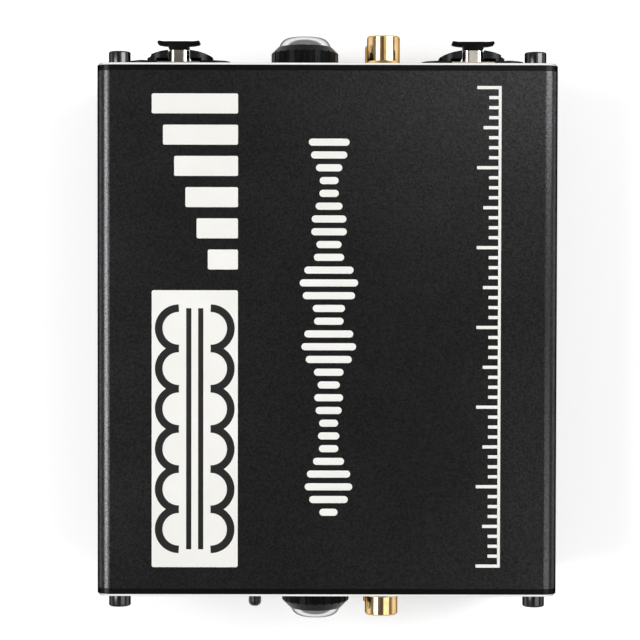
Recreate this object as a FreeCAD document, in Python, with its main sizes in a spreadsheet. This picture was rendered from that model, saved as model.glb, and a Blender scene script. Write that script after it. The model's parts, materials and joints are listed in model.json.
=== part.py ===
import FreeCAD, Part
import math
import os

import Sketcher

# A passive two-channel ground loop isolator: an extruded sleeve closed by two end plates.
# The input end faces +Y, the output end -Y, +Z is up, and the origin is under the middle of
# the case, on the plane that the rubber feet stand on. All sizes are in millimetres.
#
# What is mounted on an end plate is drawn in that plate's own frame: X to the right of someone
# who looks at the plate from outside, Y up, Z outwards, with Z zero at the plate's outer face.

SIZES = (
    # Extruded sleeve
    ("sleeve_width", 116.0, "sleeve from side to side"),
    ("sleeve_height", 42.0, "sleeve from underside to top"),
    ("sleeve_length", 130.0, "sleeve between the end plates"),
    ("corner_radius", 3.5, "outer corners of sleeve and end plates"),
    ("sleeve_wall", 2.0, "wall of the extrusion"),
    ("channel_inset", 5.4, "screw channel axis from the two outer faces next to it"),
    ("channel_radius", 1.5, "bore of a screw channel"),
    ("channel_wall", 2.3, "metal round a screw channel"),
    ("rail_depth", 2.4, "board rail, from the side wall inwards"),
    ("rail_thickness", 1.2, "board rail"),
    # End plates and their screws
    ("plate_thickness", 2.0, "end plate"),
    ("plate_chamfer", 0.6, "bright cut edge round the front of an end plate"),
    ("head_radius", 2.75, "cap screw head"),
    ("head_height", 3.2, "cap screw head"),
    ("head_bevel", 0.33, "bevel round a cap screw head"),
    ("shank_radius", 1.45, "M3 screw shank"),
    ("shank_length", 10.0, "cap screw shank"),
    ("key_width", 2.5, "hexagon socket across flats"),
    ("key_depth", 1.5, "hexagon socket"),
    ("screw_gap", 0.2, "round a screw shank in its hole"),
    # Rubber feet
    ("foot_radius", 5.0, "stick-on rubber foot"),
    ("foot_height", 1.8, "stick-on rubber foot"),
    ("foot_taper", 0.5, "radius that a foot loses towards the ground"),
    ("foot_inset", 12.0, "foot axis from the side and end of the sleeve"),
    # XLR sockets, both ends
    ("xlr_spacing", 74.8, "between the two XLR axes of one end"),
    ("xlr_offset", -0.4, "middle of the two XLR axes from the middle of the case"),
    ("flange_width", 26.0, "XLR flange"),
    ("flange_height", 31.0, "XLR flange"),
    ("flange_radius", 4.0, "XLR flange corners"),
    ("flange_screw_across", 9.5, "XLR flange screw from the axis, sideways"),
    ("flange_screw_up", 12.0, "XLR flange screw from the axis, upwards"),
    ("shell_radius", 11.7, "XLR shell behind the end plate"),
    ("shell_depth", 22.0, "XLR shell behind the outer face"),
    ("shell_gap", 0.3, "round an XLR shell in the end plate"),
    ("socket_radius", 9.65, "bore that takes a cable connector's shell"),
    ("pin_across", 3.4, "outer two XLR contacts from the axis"),
    ("pin_rise", 1.0, "outer two XLR contacts above the axis"),
    ("pin_drop", 3.4, "middle XLR contact below the axis"),
    ("slip_gap", 0.05, "between parts pushed or turned inside each other"),
    # Input XLR, female
    ("input_flange_thickness", 1.2, "input flange, in front of the plate"),
    ("collar_radius", 11.4, "raised ring round the input bore"),
    ("collar_height", 2.0, "raised ring in front of the plate"),
    ("hood_width", 16.8, "arched latch hood"),
    ("hood_top", 14.3, "top of the hood above the axis"),
    ("hood_shoulder", 2.5, "reach of the hood at its sides"),
    ("hood_reach", 4.2, "reach of the hood in the middle"),
    ("hood_round", 4.0, "upper corners of the hood"),
    ("insert_radius", 7.9, "contact carrier inside the bore"),
    ("insert_recess", 0.6, "carrier face behind the plate face"),
    ("insert_floor", 17.0, "bottom of the ring gap"),
    ("insert_back", 21.5, "rear face of the carrier"),
    ("contact_hole", 1.3, "radius of the carrier's front holes"),
    ("contact_radius", 1.65, "socket contact"),
    ("contact_lip", 2.6, "front of the socket contacts behind the plate face"),
    ("tail_end", 25.0, "solder tails behind the plate face"),
    ("tail_radius", 0.9, "solder tail"),
    ("keyway_width", 2.0, "guide rib under the carrier"),
    ("keyway_length", 11.9, "guide rib, from the bottom of the ring gap"),
    ("keyway_root", 0.8, "guide rib let into the carrier"),
    # Release lever of the input XLR
    ("lever_width", 5.1, "lever neck and arm"),
    ("lever_gap", 0.25, "beside the lever in its slot"),
    ("lever_base_width", 10.9, "wide foot of the lever in the flange notch"),
    ("lever_base_thickness", 0.8, "wide foot of the lever"),
    ("lever_base_top", 15.2, "top of the wide foot above the axis"),
    ("lever_rest_gap", 0.15, "between the wide foot and the plate"),
    ("lever_swing", 0.75, "room in the hood for the wide foot to tip forward"),
    ("lever_neck_reach", 4.0, "front end of the metal neck"),
    ("lever_neck_low", 11.4, "underside of the neck above the axis"),
    ("lever_neck_top", 14.2, "top of the neck above the axis"),
    ("lever_neck_round", 1.5, "upper long edges of the neck"),
    ("arm_low", 9.9, "underside of the latch arm above the axis"),
    ("arm_thickness", 1.3, "latch arm"),
    ("hook_depth", 9.6, "rear of the latch hook behind the plate face"),
    ("hook_thickness", 1.1, "latch hook along the bore"),
    ("hook_tip", 8.85, "tip of the hook above the axis"),
    ("pivot_rise", 10.5, "lever pivot above the axis"),
    ("pivot_depth", 2.8, "lever pivot behind the plate face"),
    ("pivot_radius", 0.55, "lever pivot pin"),
    ("pivot_length", 7.8, "lever pivot pin"),
    ("thumb_width", 10.8, "thumb bar"),
    ("thumb_reach", 6.5, "front of the thumb bar"),
    ("thumb_wall", 0.1, "thumb bar beside the neck"),
    ("thumb_wing", 1.1, "thickness of the thumb bar's wings"),
    ("thumb_tip", 0.3, "upturned tips of the wings"),
    ("thumb_low", 11.0, "underside of the thumb bar above the axis"),
    ("thumb_top", 14.6, "top of the thumb bar above the axis"),
    ("latch_spring_width", 3.0, "leaf spring behind the lever"),
    ("latch_spring_thickness", 0.3, "leaf spring"),
    ("latch_spring_step", 2.0, "leaf spring, half of its slope and its flat end"),
    ("latch_lift", 1.1, "room that the leaf leaves over the arm"),
    # Flange screws
    ("flange_head_radius", 2.6, "XLR flange screw head"),
    ("flange_head_rise", 0.45, "raised screw head in front of the input flange"),
    ("flange_head_sunk", 0.9, "input screw head let into the flange"),
    ("flange_head_flat", 1.55, "radius of the flat on the raised screw head"),
    ("flange_screw_length", 8.0, "XLR flange screw"),
    ("cone_depth", 1.2, "countersunk screw heads of the output end"),
    # Output XLR, male
    ("output_flange_thickness", 2.0, "output flange, behind the plate"),
    ("output_flange_radius", 6.5, "its corners, clear of the screw channels"),
    ("output_bore_radius", 9.8, "bore round the output pins"),
    ("output_floor", 15.0, "floor of the output bore"),
    ("output_insert_back", 19.0, "rear face of the pin carrier"),
    ("xlr_pin_radius", 1.2, "XLR pin"),
    ("xlr_pin_recess", 1.6, "pin tips behind the plate face"),
    ("xlr_pin_tip", 0.6, "bevel of a pin's tip, and what is left of its radius"),
    ("catch_width", 4.4, "catch recess above the output bore"),
    ("catch_rise", 0.9, "catch recess above the output bore"),
    ("catch_depth", 7.5, "catch recess behind the plate face"),
    # Jack sockets
    ("input_jack_across", -5.8, "input jacks from the middle of the case"),
    ("output_jack_across", -2.85, "output jacks from the middle of the case"),
    ("jack_pitch", 18.0, "between upper and lower jack"),
    ("jack_bore", 3.25, "bore for the plug"),
    ("jack_relief", 3.45, "radius of the plug way behind the bore"),
    ("thread_radius", 5.9, "threaded jack bushing"),
    ("thread_gap", 0.1, "round the bushing in plate, nut and body"),
    ("bushing_depth", 6.0, "rear of the bushing behind the plate face"),
    ("nut_radius", 8.6, "ribbed jack nut"),
    ("input_nut_height", 5.2, "jack nut of the input end"),
    ("output_nut_height", 4.6, "jack nut of the output end"),
    ("input_nut_bevel", 1.65, "bevel round the front of an input nut"),
    ("output_nut_bevel", 2.0, "bevel round the front of an output nut"),
    ("rib_count", 24.0, "ribs round a nut"),
    ("rib_groove", 0.34, "radius of the grooves between the ribs"),
    ("input_ring_radius", 6.6, "chromed ring in an input nut"),
    ("output_ring_radius", 6.3, "chromed ring in an output nut"),
    ("ring_seat", 4.0, "seat of the ring in front of the plate"),
    ("input_ring_reach", 7.6, "front of an input ring"),
    ("output_ring_reach", 6.8, "front of an output ring"),
    ("ring_round", 2.7, "rounded front of the ring"),
    ("jack_body_width", 15.8, "square jack body"),
    ("jack_way_depth", 22.8, "end of the plug way behind the plate face"),
    ("spring_slot", 3.0, "height of the contact slots"),
    ("spring_reach", 6.6, "side ends of the contact slots from the axis"),
    ("spring_front", 8.0, "front ends of the contact slots"),
    ("spring_thickness", 0.4, "contact leaf"),
    ("spring_width", 2.4, "contact leaf"),
    ("spring_touch", 2.0, "half of the flat of a leaf beside the plug way"),
    # Connector boards and what stands on them
    ("output_setback", 0.7, "how much deeper the output board sits"),
    ("board_depth", 24.4, "front face of a connector board behind the plate face"),
    ("board_thickness", 1.6, "circuit boards"),
    ("board_half_width", 24.5, "connector board to each side"),
    ("board_margin", 3.6, "connector board from underside and top of the sleeve"),
    ("board_gap", 0.2, "round a board in its rails and beside the next board"),
    ("board_level", 9.4, "underside of the main board above the underside of the sleeve"),
    ("lead_radius", 0.45, "leads that go through a board"),
    ("lead_hole", 0.55, "hole for a lead"),
    ("lead_stub", 1.2, "lead behind a connector board"),
    # Phono sockets
    ("input_phono_across", 14.35, "input phono pair from the middle of the case"),
    ("output_phono_across", 14.15, "output phono pair from the middle of the case"),
    ("phono_pitch", 17.0, "between white and red socket"),
    ("phono_radius", 4.2, "gilt barrel"),
    ("phono_wall", 0.7, "gilt barrel wall"),
    ("phono_rim", 0.3, "bevel round the barrel's front"),
    ("input_phono_reach", 8.1, "front of an input barrel"),
    ("output_phono_reach", 6.5, "front of an output barrel"),
    ("phono_back", 9.0, "rear of the barrel behind the plate face"),
    ("phono_foot_radius", 4.7, "cone at the foot of the barrel"),
    ("phono_foot_height", 1.7, "cone at the foot of the barrel"),
    ("phono_foot_cone", 0.8, "height over which the foot narrows"),
    ("phono_recess", 0.9, "insulator face behind the barrel's front"),
    ("phono_pin_hole", 1.65, "hole for the plug's pin"),
    ("phono_contact_radius", 2.3, "pin contact inside the insulator"),
    ("phono_contact_front", 3.6, "front of the pin contact"),
    ("phono_contact_floor", 6.3, "bottom of the pin contact's bore behind the plate face"),
    ("phono_housing_width", 10.6, "black block behind the plate"),
    ("phono_housing_height", 29.0, "black block behind the plate"),
    ("phono_housing_back", 13.0, "rear of the black block"),
    ("phono_screw_radius", 1.3, "self-tapping screw of the phono block"),
    ("phono_screw_length", 8.0, "self-tapping screw of the phono block"),
    ("phono_screw_head", 2.0, "its head radius"),
    ("phono_screw_flat", 1.1, "radius of the flat on its head"),
    ("phono_screw_edge", 0.6, "rim of its head"),
    ("phono_screw_rise", 1.2, "its head height"),
    # Ground lift switch
    ("switch_across", -18.8, "ground switch from the middle of the case"),
    ("button_radius", 1.65, "push button"),
    ("button_reach", 6.2, "tip of the button in front of the plate"),
    ("button_dome", 1.3, "rounding of the button's tip"),
    ("button_gap", 0.2, "round the button in the plate"),
    ("button_collar", 2.7, "collar that keeps the button in"),
    ("button_collar_length", 1.2, "collar that keeps the button in"),
    ("button_travel", 2.0, "push of the button"),
    ("switch_width", 9.0, "square switch body"),
    ("switch_front", 4.6, "front of the switch body behind the plate face"),
    ("switch_nose", 2.0, "guide at the front of the switch body"),
    ("switch_chamber", 3.0, "radius of the spring chamber"),
    ("switch_chamber_end", 20.0, "bottom of the spring chamber"),
    ("switch_spring_radius", 2.2, "mean radius of the return spring"),
    ("switch_spring_wire", 0.4, "wire of the return spring"),
    ("switch_spring_turns", 4.0, "turns of the return spring"),
    ("switch_spring_gap", 0.4, "between the pressed button and the return spring"),
    # Transformers
    ("transformer_spacing", 52.0, "between the two transformers"),
    ("core_width", 28.0, "lamination stack, side to side"),
    ("core_height", 24.0, "lamination stack, upright"),
    ("core_stack", 12.0, "lamination stack, thickness"),
    ("core_limb", 4.2, "outer limbs and yokes of the stack"),
    ("core_centre", 8.0, "centre limb of the stack"),
    ("coil_gap", 0.2, "between coil and laminations"),
    ("coil_overhang", 4.6, "coil in front of and behind the stack"),
    ("coil_foot", 1.5, "former standing on the board under the stack"),
    # Board connectors and wires
    ("header_across", 8.5, "pin headers from the middle of the case"),
    ("header_width", 7.6, "pin header between the boards"),
    ("header_side", 2.5, "pin header section"),
    ("wire_radius", 0.6, "insulated hook-up wire"),
    ("wire_run", 7.0, "wire from a solder tail to its downward run"),
    ("wire_bend", 3.0, "bend of a wire"),
)

doc = FreeCAD.newDocument("ground_loop_isolator")
sheet = doc.addObject("Spreadsheet::Sheet", "dim")
nodes = []

ENDS = ("input", "output")
SIDES = {"left": -1, "right": 1}
LEVELS = {"upper": 1, "lower": -1}

# Every socket and the button is placed from the middle of the plate's height.
MIDDLE = "dim.sleeve_height / 2"


# The sheet, and expressions that read it

def fill_sheet():
    """Write every size with its alias and its meaning into the sheet."""
    for row, (alias, value, meaning) in enumerate(SIZES, start=1):
        sheet.set("A%d" % row, meaning)
        sheet.set("B%d" % row, str(value))
        sheet.setAlias("B%d" % row, alias)
    doc.recompute()


def number(expression):
    """Value of an expression at the present sizes."""
    return float(sheet.evalExpression(str(expression)))


def bind(thing, **expressions):
    """Bind properties to expressions; a double underscore stands for a dot."""
    for name, expression in expressions.items():
        thing.setExpression(name.replace("__", "."), str(expression))


# Sketches

def new_body(label):
    """Empty body with its own label."""
    body = doc.addObject("PartDesign::Body", label)
    body.Label = label
    return body


def new_sketch(body, plane, lift="0"):
    """Sketch on one of the body's own origin planes, moved along its normal by lift."""
    sketch = body.newObject("Sketcher::SketchObject", "Sketch")
    support = next(item for item in body.Origin.OriginFeatures if item.Role == plane)
    sketch.AttachmentSupport = [(support, "")]
    sketch.MapMode = "FlatFace"
    if lift != "0":
        bind(sketch, AttachmentOffset__Base__z=lift)
    return sketch


def fix_distance(sketch, kind, item, end, expression):
    """Hold one point of a sketch item at a distance from the sketch's origin."""
    value = number(expression)
    index = sketch.addConstraint(Sketcher.Constraint(kind, -1, 1, item, end, value))
    sketch.setExpression("Constraints[%d]" % index, str(expression))


def fix_point(sketch, item, end, across, up):
    """Hold one point of a sketch item at the two expressions."""
    fix_distance(sketch, "DistanceX", item, end, across)
    fix_distance(sketch, "DistanceY", item, end, up)


def fix_radius(sketch, item, radius):
    """Hold the radius of a circle or arc at the expression."""
    index = sketch.addConstraint(Sketcher.Constraint("Radius", item, number(radius)))
    sketch.setExpression("Constraints[%d]" % index, str(radius))


def at(across, up):
    """Point in a sketch at the present sizes."""
    return FreeCAD.Vector(number(across), number(up), 0)


def draw_outline(sketch, corners):
    """Closed outline through corners, each a pair of expressions."""
    points = [at(*corner) for corner in corners]
    lines = []
    for start, end in zip(points, points[1:] + points[:1]):
        lines.append(sketch.addGeometry(Part.LineSegment(start, end), False))
    for line, following, corner in zip(lines, lines[1:] + lines[:1], corners):
        sketch.addConstraint(Sketcher.Constraint("Coincident", line, 2, following, 1))
        fix_point(sketch, line, 1, *corner)


def draw_box(sketch, left, right, low, high):
    """Rectangle between four expressions."""
    draw_outline(sketch, ((left, low), (right, low), (right, high), (left, high)))


def draw_circle(sketch, radius, across="0", up="0"):
    """Circle about a point."""
    circle = Part.Circle(at(across, up), FreeCAD.Vector(0, 0, 1), number(radius))
    item = sketch.addGeometry(circle, False)
    fix_radius(sketch, item, radius)
    fix_point(sketch, item, 3, across, up)


def draw_round_box(sketch, wide, tall, radius, middle_up="0"):
    """Rectangle with round corners, centred across, with its middle at middle_up."""
    half_wide = "(%s) / 2 - (%s)" % (wide, radius)
    half_tall = "(%s) / 2 - (%s)" % (tall, radius)
    arcs = []
    for turn, (right, top) in enumerate(((1, 1), (-1, 1), (-1, -1), (1, -1))):
        across = "%d * (%s)" % (right, half_wide)
        up = "%s + %d * (%s)" % (middle_up, top, half_tall)
        circle = Part.Circle(at(across, up), FreeCAD.Vector(0, 0, 1), number(radius))
        arc = Part.ArcOfCircle(circle, turn * math.pi / 2, (turn + 1) * math.pi / 2)
        item = sketch.addGeometry(arc, False)
        fix_radius(sketch, item, radius)
        fix_point(sketch, item, 3, across, up)
        arcs.append(item)
    for first, second in zip(arcs, arcs[1:] + arcs[:1]):
        start = sketch.getPoint(first, 2)
        end = sketch.getPoint(second, 1)
        line = sketch.addGeometry(Part.LineSegment(start, end), False)
        sketch.addConstraint(Sketcher.Constraint("Tangent", first, 2, line, 1))
        sketch.addConstraint(Sketcher.Constraint("Tangent", line, 2, second, 1))


# Features of a body

def along(body, kind, sketch, length):
    """Pad or pocket of a sketch by a length."""
    feature = body.newObject("PartDesign::" + kind, kind)
    feature.Profile = sketch
    bind(feature, Length=length)
    return feature


def pad(body, draw, start, length):
    """Add what draw puts on the plate's plane, from start outwards by length."""
    sketch = new_sketch(body, "XY_Plane", start)
    draw(sketch)
    return along(body, "Pad", sketch, length)


def pocket(body, draw, start, depth):
    """Cut what draw puts on the plate's plane, from start inwards by depth."""
    sketch = new_sketch(body, "XY_Plane", start)
    draw(sketch)
    return along(body, "Pocket", sketch, depth)


def across_pad(body, plane, draw, length):
    """Add what draw puts on an upright plane, half of length to each side."""
    sketch = new_sketch(body, plane)
    draw(sketch)
    feature = along(body, "Pad", sketch, length)
    feature.SideType = "Symmetric"
    return feature


def across_pocket(body, plane, draw, length):
    """Cut what draw puts on an upright plane, half of length to each side."""
    sketch = new_sketch(body, plane)
    draw(sketch)
    feature = along(body, "Pocket", sketch, length)
    feature.SideType = "Symmetric"
    return feature


def turn(body, profile):
    """Revolve a profile of (radius, height) pairs about the Z axis."""
    sketch = new_sketch(body, "XZ_Plane")
    draw_outline(sketch, profile)
    feature = body.newObject("PartDesign::Revolution", "Revolution")
    feature.Profile = sketch
    feature.ReferenceAxis = (sketch, ["V_Axis"])
    feature.Angle = 360
    return feature


def edges_where(feature, test):
    """Names of the edges of a feature that pass a test."""
    doc.recompute()
    names = []
    for index, edge in enumerate(feature.Shape.Edges, start=1):
        if test(edge):
            names.append("Edge%d" % index)
    return names


def fillet(body, feature, radius, test):
    """Round the edges of a feature that pass a test."""
    names = edges_where(feature, test)
    rounding = body.newObject("PartDesign::Fillet", "Fillet")
    rounding.Base = (feature, names)
    bind(rounding, Radius=radius)
    return rounding


def chamfer(body, feature, width, test):
    """Bevel the edges of a feature that pass a test."""
    names = edges_where(feature, test)
    bevel = body.newObject("PartDesign::Chamfer", "Chamfer")
    bevel.Base = (feature, names)
    bind(bevel, Size=width)
    return bevel


def flat_at(height):
    """Test for edges that lie in the plane at a height."""
    level = number(height)

    def test(edge):
        box = edge.BoundBox
        return abs(box.ZMin - level) < 1e-4 and abs(box.ZMax - level) < 1e-4
    return test


def rim_at(height, radius):
    """Test for the round edge of one radius about Z at a height."""
    flat = flat_at(height)
    wide = number(radius)

    def test(edge):
        return flat(edge) and abs(edge.BoundBox.XMax - wide) < 1e-3
    return test


# Places

def mirror(end, across):
    """Sideways place on an end plate, in the plate's frame."""
    sign = -1 if end == "input" else 1
    return "%d * (%s)" % (sign, across)


def seat(thing, end, across="0", up="0"):
    """Put a piece drawn in a plate's frame on that end of the case."""
    outwards = 1 if end == "input" else -1
    thing.Placement = FreeCAD.Placement(
        FreeCAD.Vector(0, 0, 0),
        FreeCAD.Rotation(FreeCAD.Vector(-outwards, 0, 0), FreeCAD.Vector(0, 0, 1),
                         FreeCAD.Vector(0, outwards, 0), "ZYX"),
    )
    bind(
        thing,
        Placement__Base__x=across,
        Placement__Base__y="%d * (dim.sleeve_length / 2 + dim.plate_thickness)" % outwards,
        Placement__Base__z="dim.foot_height + %s" % up,
    )


def place(thing, across="0", back="0", up="0"):
    """Put an upright piece in the case, unturned."""
    bind(thing, Placement__Base__x=across, Placement__Base__y=back, Placement__Base__z=up)


def node(thing):
    """Count a piece among the exported sub-parts."""
    nodes.append(thing)
    return thing


def group(label, pieces):
    """One sub-part of several separate solids."""
    bundle = doc.addObject("Part::Compound", label)
    bundle.Label = label
    bundle.Links = pieces
    return node(bundle)


def xlr_across(side):
    """Place of an XLR axis."""
    return "dim.xlr_offset + %d * dim.xlr_spacing / 2" % SIDES[side]


def jack_across(end):
    """Place of the jack axes of one end."""
    return "dim.%s_jack_across" % end


def jack_up(level):
    """Height of a jack axis above the underside of the sleeve."""
    return "%s + %d * dim.jack_pitch / 2" % (MIDDLE, LEVELS[level])


def phono_across(end):
    """Place of the phono axes of one end."""
    return "dim.%s_phono_across" % end


def phono_up(level):
    """Height of a phono axis above the underside of the sleeve."""
    return "%s + %d * dim.phono_pitch / 2" % (MIDDLE, LEVELS[level])


def phono_front(end):
    """Front of the phono barrels of one end."""
    return "dim.%s_phono_reach" % end


def setback(end):
    """How much deeper the board of one end sits."""
    return "dim.output_setback" if end == "output" else "0"


# Case

def enclosure_sleeve():
    """Extruded sleeve with four screw channels and a board rail pair on each side."""
    body = new_body("enclosure_sleeve")
    length = "dim.sleeve_length"
    wall = "dim.sleeve_wall"

    def skin(sketch):
        draw_round_box(sketch, "dim.sleeve_width", "dim.sleeve_height", "dim.corner_radius", MIDDLE)

    def hollow(sketch):
        draw_round_box(
            sketch,
            "dim.sleeve_width - 2 * %s" % wall,
            "dim.sleeve_height - 2 * %s" % wall,
            "dim.corner_radius - %s" % wall,
            MIDDLE,
        )

    def channels(sketch, radius):
        for across, up in channel_places():
            draw_circle(sketch, radius, across, up)

    def rails(sketch):
        top = "dim.board_level"
        above = "dim.board_level + dim.board_thickness + dim.board_gap"
        outer = "dim.sleeve_width / 2 - %s / 2" % wall
        inner = "dim.sleeve_width / 2 - %s - dim.rail_depth" % wall
        spans = ((top + " - dim.rail_thickness", top), (above, above + " + dim.rail_thickness"))
        for low, high in spans:
            draw_box(sketch, inner, outer, low, high)
            draw_box(sketch, "-(%s)" % outer, "-(%s)" % inner, low, high)

    across_pad(body, "XZ_Plane", skin, length)
    across_pocket(body, "XZ_Plane", hollow, length)
    round_bore = "dim.channel_radius + dim.channel_wall"
    across_pad(body, "XZ_Plane", lambda s: channels(s, round_bore), length)
    across_pad(body, "XZ_Plane", rails, length)
    across_pocket(body, "XZ_Plane", lambda s: channels(s, "dim.channel_radius"), length)
    place(body, up="dim.foot_height")
    node(body)


def channel_places():
    """Across and up of the four screw channels, from the middle of the underside."""
    side = "dim.sleeve_width / 2 - dim.channel_inset"
    low = "dim.channel_inset"
    high = "dim.sleeve_height - dim.channel_inset"
    return [(sign + "(%s)" % side, up) for sign in ("", "-") for up in (low, high)]


def flange_screw_places(side, end):
    """The two screws of an XLR flange, from its axis, the upper one on the outer side."""
    outer = mirror(end, "%d * dim.flange_screw_across" % SIDES[side])
    return ((outer, "dim.flange_screw_up"), ("-(%s)" % outer, "-dim.flange_screw_up"))


def end_plate(end):
    """End plate with its holes and a bright bevel round the front."""
    body = new_body(end + "_end_plate")
    thick = "dim.plate_thickness"
    shank_hole = "dim.shank_radius + dim.screw_gap"

    def skin(sketch):
        draw_round_box(sketch, "dim.sleeve_width", "dim.sleeve_height", "dim.corner_radius", MIDDLE)

    def case_screws(sketch):
        for across, up in channel_places():
            draw_circle(sketch, shank_hole, across, up)

    def xlr_holes(sketch):
        for side in SIDES:
            axis = mirror(end, xlr_across(side))
            draw_circle(sketch, "dim.shell_radius + dim.shell_gap", axis, MIDDLE)

    def flange_screws(sketch):
        for side in SIDES:
            axis = mirror(end, xlr_across(side))
            for across, up in flange_screw_places(side, end):
                draw_circle(sketch, shank_hole, "%s + %s" % (axis, across), "%s + %s" % (MIDDLE, up))

    def sockets(sketch):
        for level in LEVELS:
            across = mirror(end, jack_across(end))
            draw_circle(sketch, "dim.thread_radius + dim.thread_gap", across, jack_up(level))
            across = mirror(end, phono_across(end))
            draw_circle(sketch, "dim.phono_radius + dim.thread_gap", across, phono_up(level))
        across = mirror(end, phono_across(end))
        draw_circle(sketch, "dim.phono_screw_radius + dim.screw_gap", across, MIDDLE)

    first = pad(body, skin, "-" + thick, thick)
    chamfer(body, first, "dim.plate_chamfer", flat_at("0"))
    last = pocket(body, flange_screws, "0", thick)
    if end == "output":
        cone = "dim.cone_depth - dim.screw_gap + 2 * dim.slip_gap"
        reach = number(shank_hole)
        flat = flat_at("0")
        chamfer(body, last, cone, lambda e: flat(e) and is_round(e, reach))
    pocket(body, case_screws, "0", thick)
    pocket(body, xlr_holes, "0", thick)
    pocket(body, sockets, "0", thick)
    if end == "output":
        across = mirror(end, "dim.switch_across")
        hole = "dim.button_radius + dim.button_gap"
        pocket(body, lambda s: draw_circle(s, hole, across, MIDDLE), "0", thick)
    seat(body, end)
    node(body)


def is_round(edge, radius):
    """Is an edge a circle of this radius?"""
    curve = edge.Curve
    return hasattr(curve, "Radius") and abs(curve.Radius - radius) < 1e-4


def key_socket(body, top):
    """Hexagon socket in a screw head."""
    corner = "dim.key_width / sqrt(3)"
    corners = []
    for step in range(6):
        corners.append(("%s * cos(%d)" % (corner, 60 * step), "%s * sin(%d)" % (corner, 60 * step)))
    pocket(body, lambda s: draw_outline(s, corners), top, "dim.key_depth")


def cap_screw(label):
    """Hexagon socket cap screw, head outwards."""
    body = new_body(label)
    bevel = "dim.head_bevel"
    turn(body, (
        ("0", "-dim.shank_length"),
        ("dim.shank_radius", "-dim.shank_length"),
        ("dim.shank_radius", "0"),
        ("dim.head_radius", "0"),
        ("dim.head_radius", "dim.head_height - " + bevel),
        ("dim.head_radius - " + bevel, "dim.head_height"),
        ("0", "dim.head_height"),
    ))
    key_socket(body, "dim.head_height")
    return body


def plate_screws(end):
    """The four cap screws of an end plate."""
    screws = []
    for index, (across, up) in enumerate(channel_places()):
        screw = cap_screw("%s_plate_screw_%d" % (end, index + 1))
        seat(screw, end, across, up)
        screws.append(screw)
    group(end + "_plate_screws", screws)


def rubber_feet():
    """Four stick-on feet under the sleeve."""
    feet = []
    for index in range(4):
        foot = new_body("rubber_foot_%d" % (index + 1))
        turn(foot, (
            ("0", "0"),
            ("dim.foot_radius - dim.foot_taper", "0"),
            ("dim.foot_radius", "dim.foot_height"),
            ("0", "dim.foot_height"),
        ))
        across = "%d * (dim.sleeve_width / 2 - dim.foot_inset)" % (1 if index % 2 else -1)
        back = "%d * (dim.sleeve_length / 2 - dim.foot_inset)" % (1 if index // 2 else -1)
        place(foot, across, back)
        feet.append(foot)
    group("rubber_feet", feet)


# XLR sockets of the input end

def input_xlr_shell(side):
    """Cast shell: latch hood, flange, collar, bore, and the slot that the lever works in."""
    body = new_body(side + "_input_xlr_shell")
    half = "dim.hood_width / 2"
    slot = "dim.lever_width / 2 + dim.lever_gap"
    notch = "dim.lever_base_width / 2 + dim.lever_gap"
    flange = "dim.input_flange_thickness"

    def hood(sketch):
        shoulder = "dim.hood_shoulder"
        corners = (("-" + half, shoulder), ("-" + half, "0"), (half, "0"), (half, shoulder))
        points = [at(*corner) for corner in corners]
        sides = []
        for start, end in zip(points, points[1:]):
            sides.append(sketch.addGeometry(Part.LineSegment(start, end), False))
        arc = Part.Arc(points[3], at("0", "dim.hood_reach"), points[0])
        sides.append(sketch.addGeometry(arc, False))
        for side_item, following, corner in zip(sides, sides[1:] + sides[:1], corners):
            sketch.addConstraint(Sketcher.Constraint("Coincident", side_item, 2, following, 1))
            fix_point(sketch, side_item, 1, *corner)
        rise = "(dim.hood_reach - %s)" % shoulder
        fix_radius(sketch, sides[3], "(pow(%s; 2) + pow(%s; 2)) / (2 * %s)" % (half, rise, rise))

    def arm_slot(sketch):
        draw_box(sketch, "-(%s)" % slot, slot, "dim.insert_radius + dim.slip_gap", "dim.flange_height")

    def base_notch(sketch):
        draw_box(sketch, "-(%s)" % notch, notch, "dim.arm_low - dim.lever_gap", "dim.flange_height")

    sketch = new_sketch(body, "XZ_Plane")
    hood(sketch)
    block = along(body, "Pad", sketch, "dim.hood_top")
    block.Reversed = True
    top = number("dim.hood_top")
    edge_side = number(half)
    fillet(body, block, "dim.hood_round", lambda e: on_side_edge(e, edge_side, top))
    flat = lambda s: draw_round_box(s, "dim.flange_width", "dim.flange_height", "dim.flange_radius")
    pad(body, flat, "0", flange)
    pad(body, lambda s: draw_circle(s, "dim.shell_radius"), "-dim.shell_depth", "dim.shell_depth")
    pad(body, lambda s: draw_circle(s, "dim.collar_radius"), "0", "dim.collar_height")
    reach = "dim.hood_reach + dim.shell_depth"
    pocket(body, lambda s: draw_circle(s, "dim.socket_radius"), "dim.hood_reach", reach)
    room = "dim.hook_depth + dim.hook_thickness"
    pocket(body, arm_slot, "dim.hood_reach", "dim.hood_reach + " + room)
    pocket(body, base_notch, flange + " + dim.lever_swing", flange + " + dim.lever_swing")
    pin_hole = "dim.pivot_radius + dim.slip_gap"
    across_pocket(
        body, "YZ_Plane", lambda s: draw_circle(s, pin_hole, "dim.pivot_rise", "-dim.pivot_depth"),
        "dim.pivot_length + 2 * dim.slip_gap",
    )
    places = flange_screw_places(side, "input")

    def shanks(sketch):
        for across, up in places:
            draw_circle(sketch, "dim.shank_radius + dim.screw_gap", across, up)

    def heads(sketch):
        for across, up in places:
            draw_circle(sketch, "dim.flange_head_radius + dim.slip_gap", across, up)

    pocket(body, shanks, flange, flange)
    pocket(body, heads, "dim.hood_reach", "dim.hood_reach - %s + dim.flange_head_sunk" % flange)
    seat(body, "input", xlr_across(side), MIDDLE)
    node(body)


def on_side_edge(edge, side, top):
    """Is this the straight edge along Z at a side and the top of a block?"""
    box = edge.BoundBox
    upright = box.ZLength > 0.5 and box.XLength < 1e-3 and box.YLength < 1e-3
    return upright and abs(abs(box.XMin) - side) < 1e-3 and abs(box.YMin - top) < 1e-3


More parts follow.
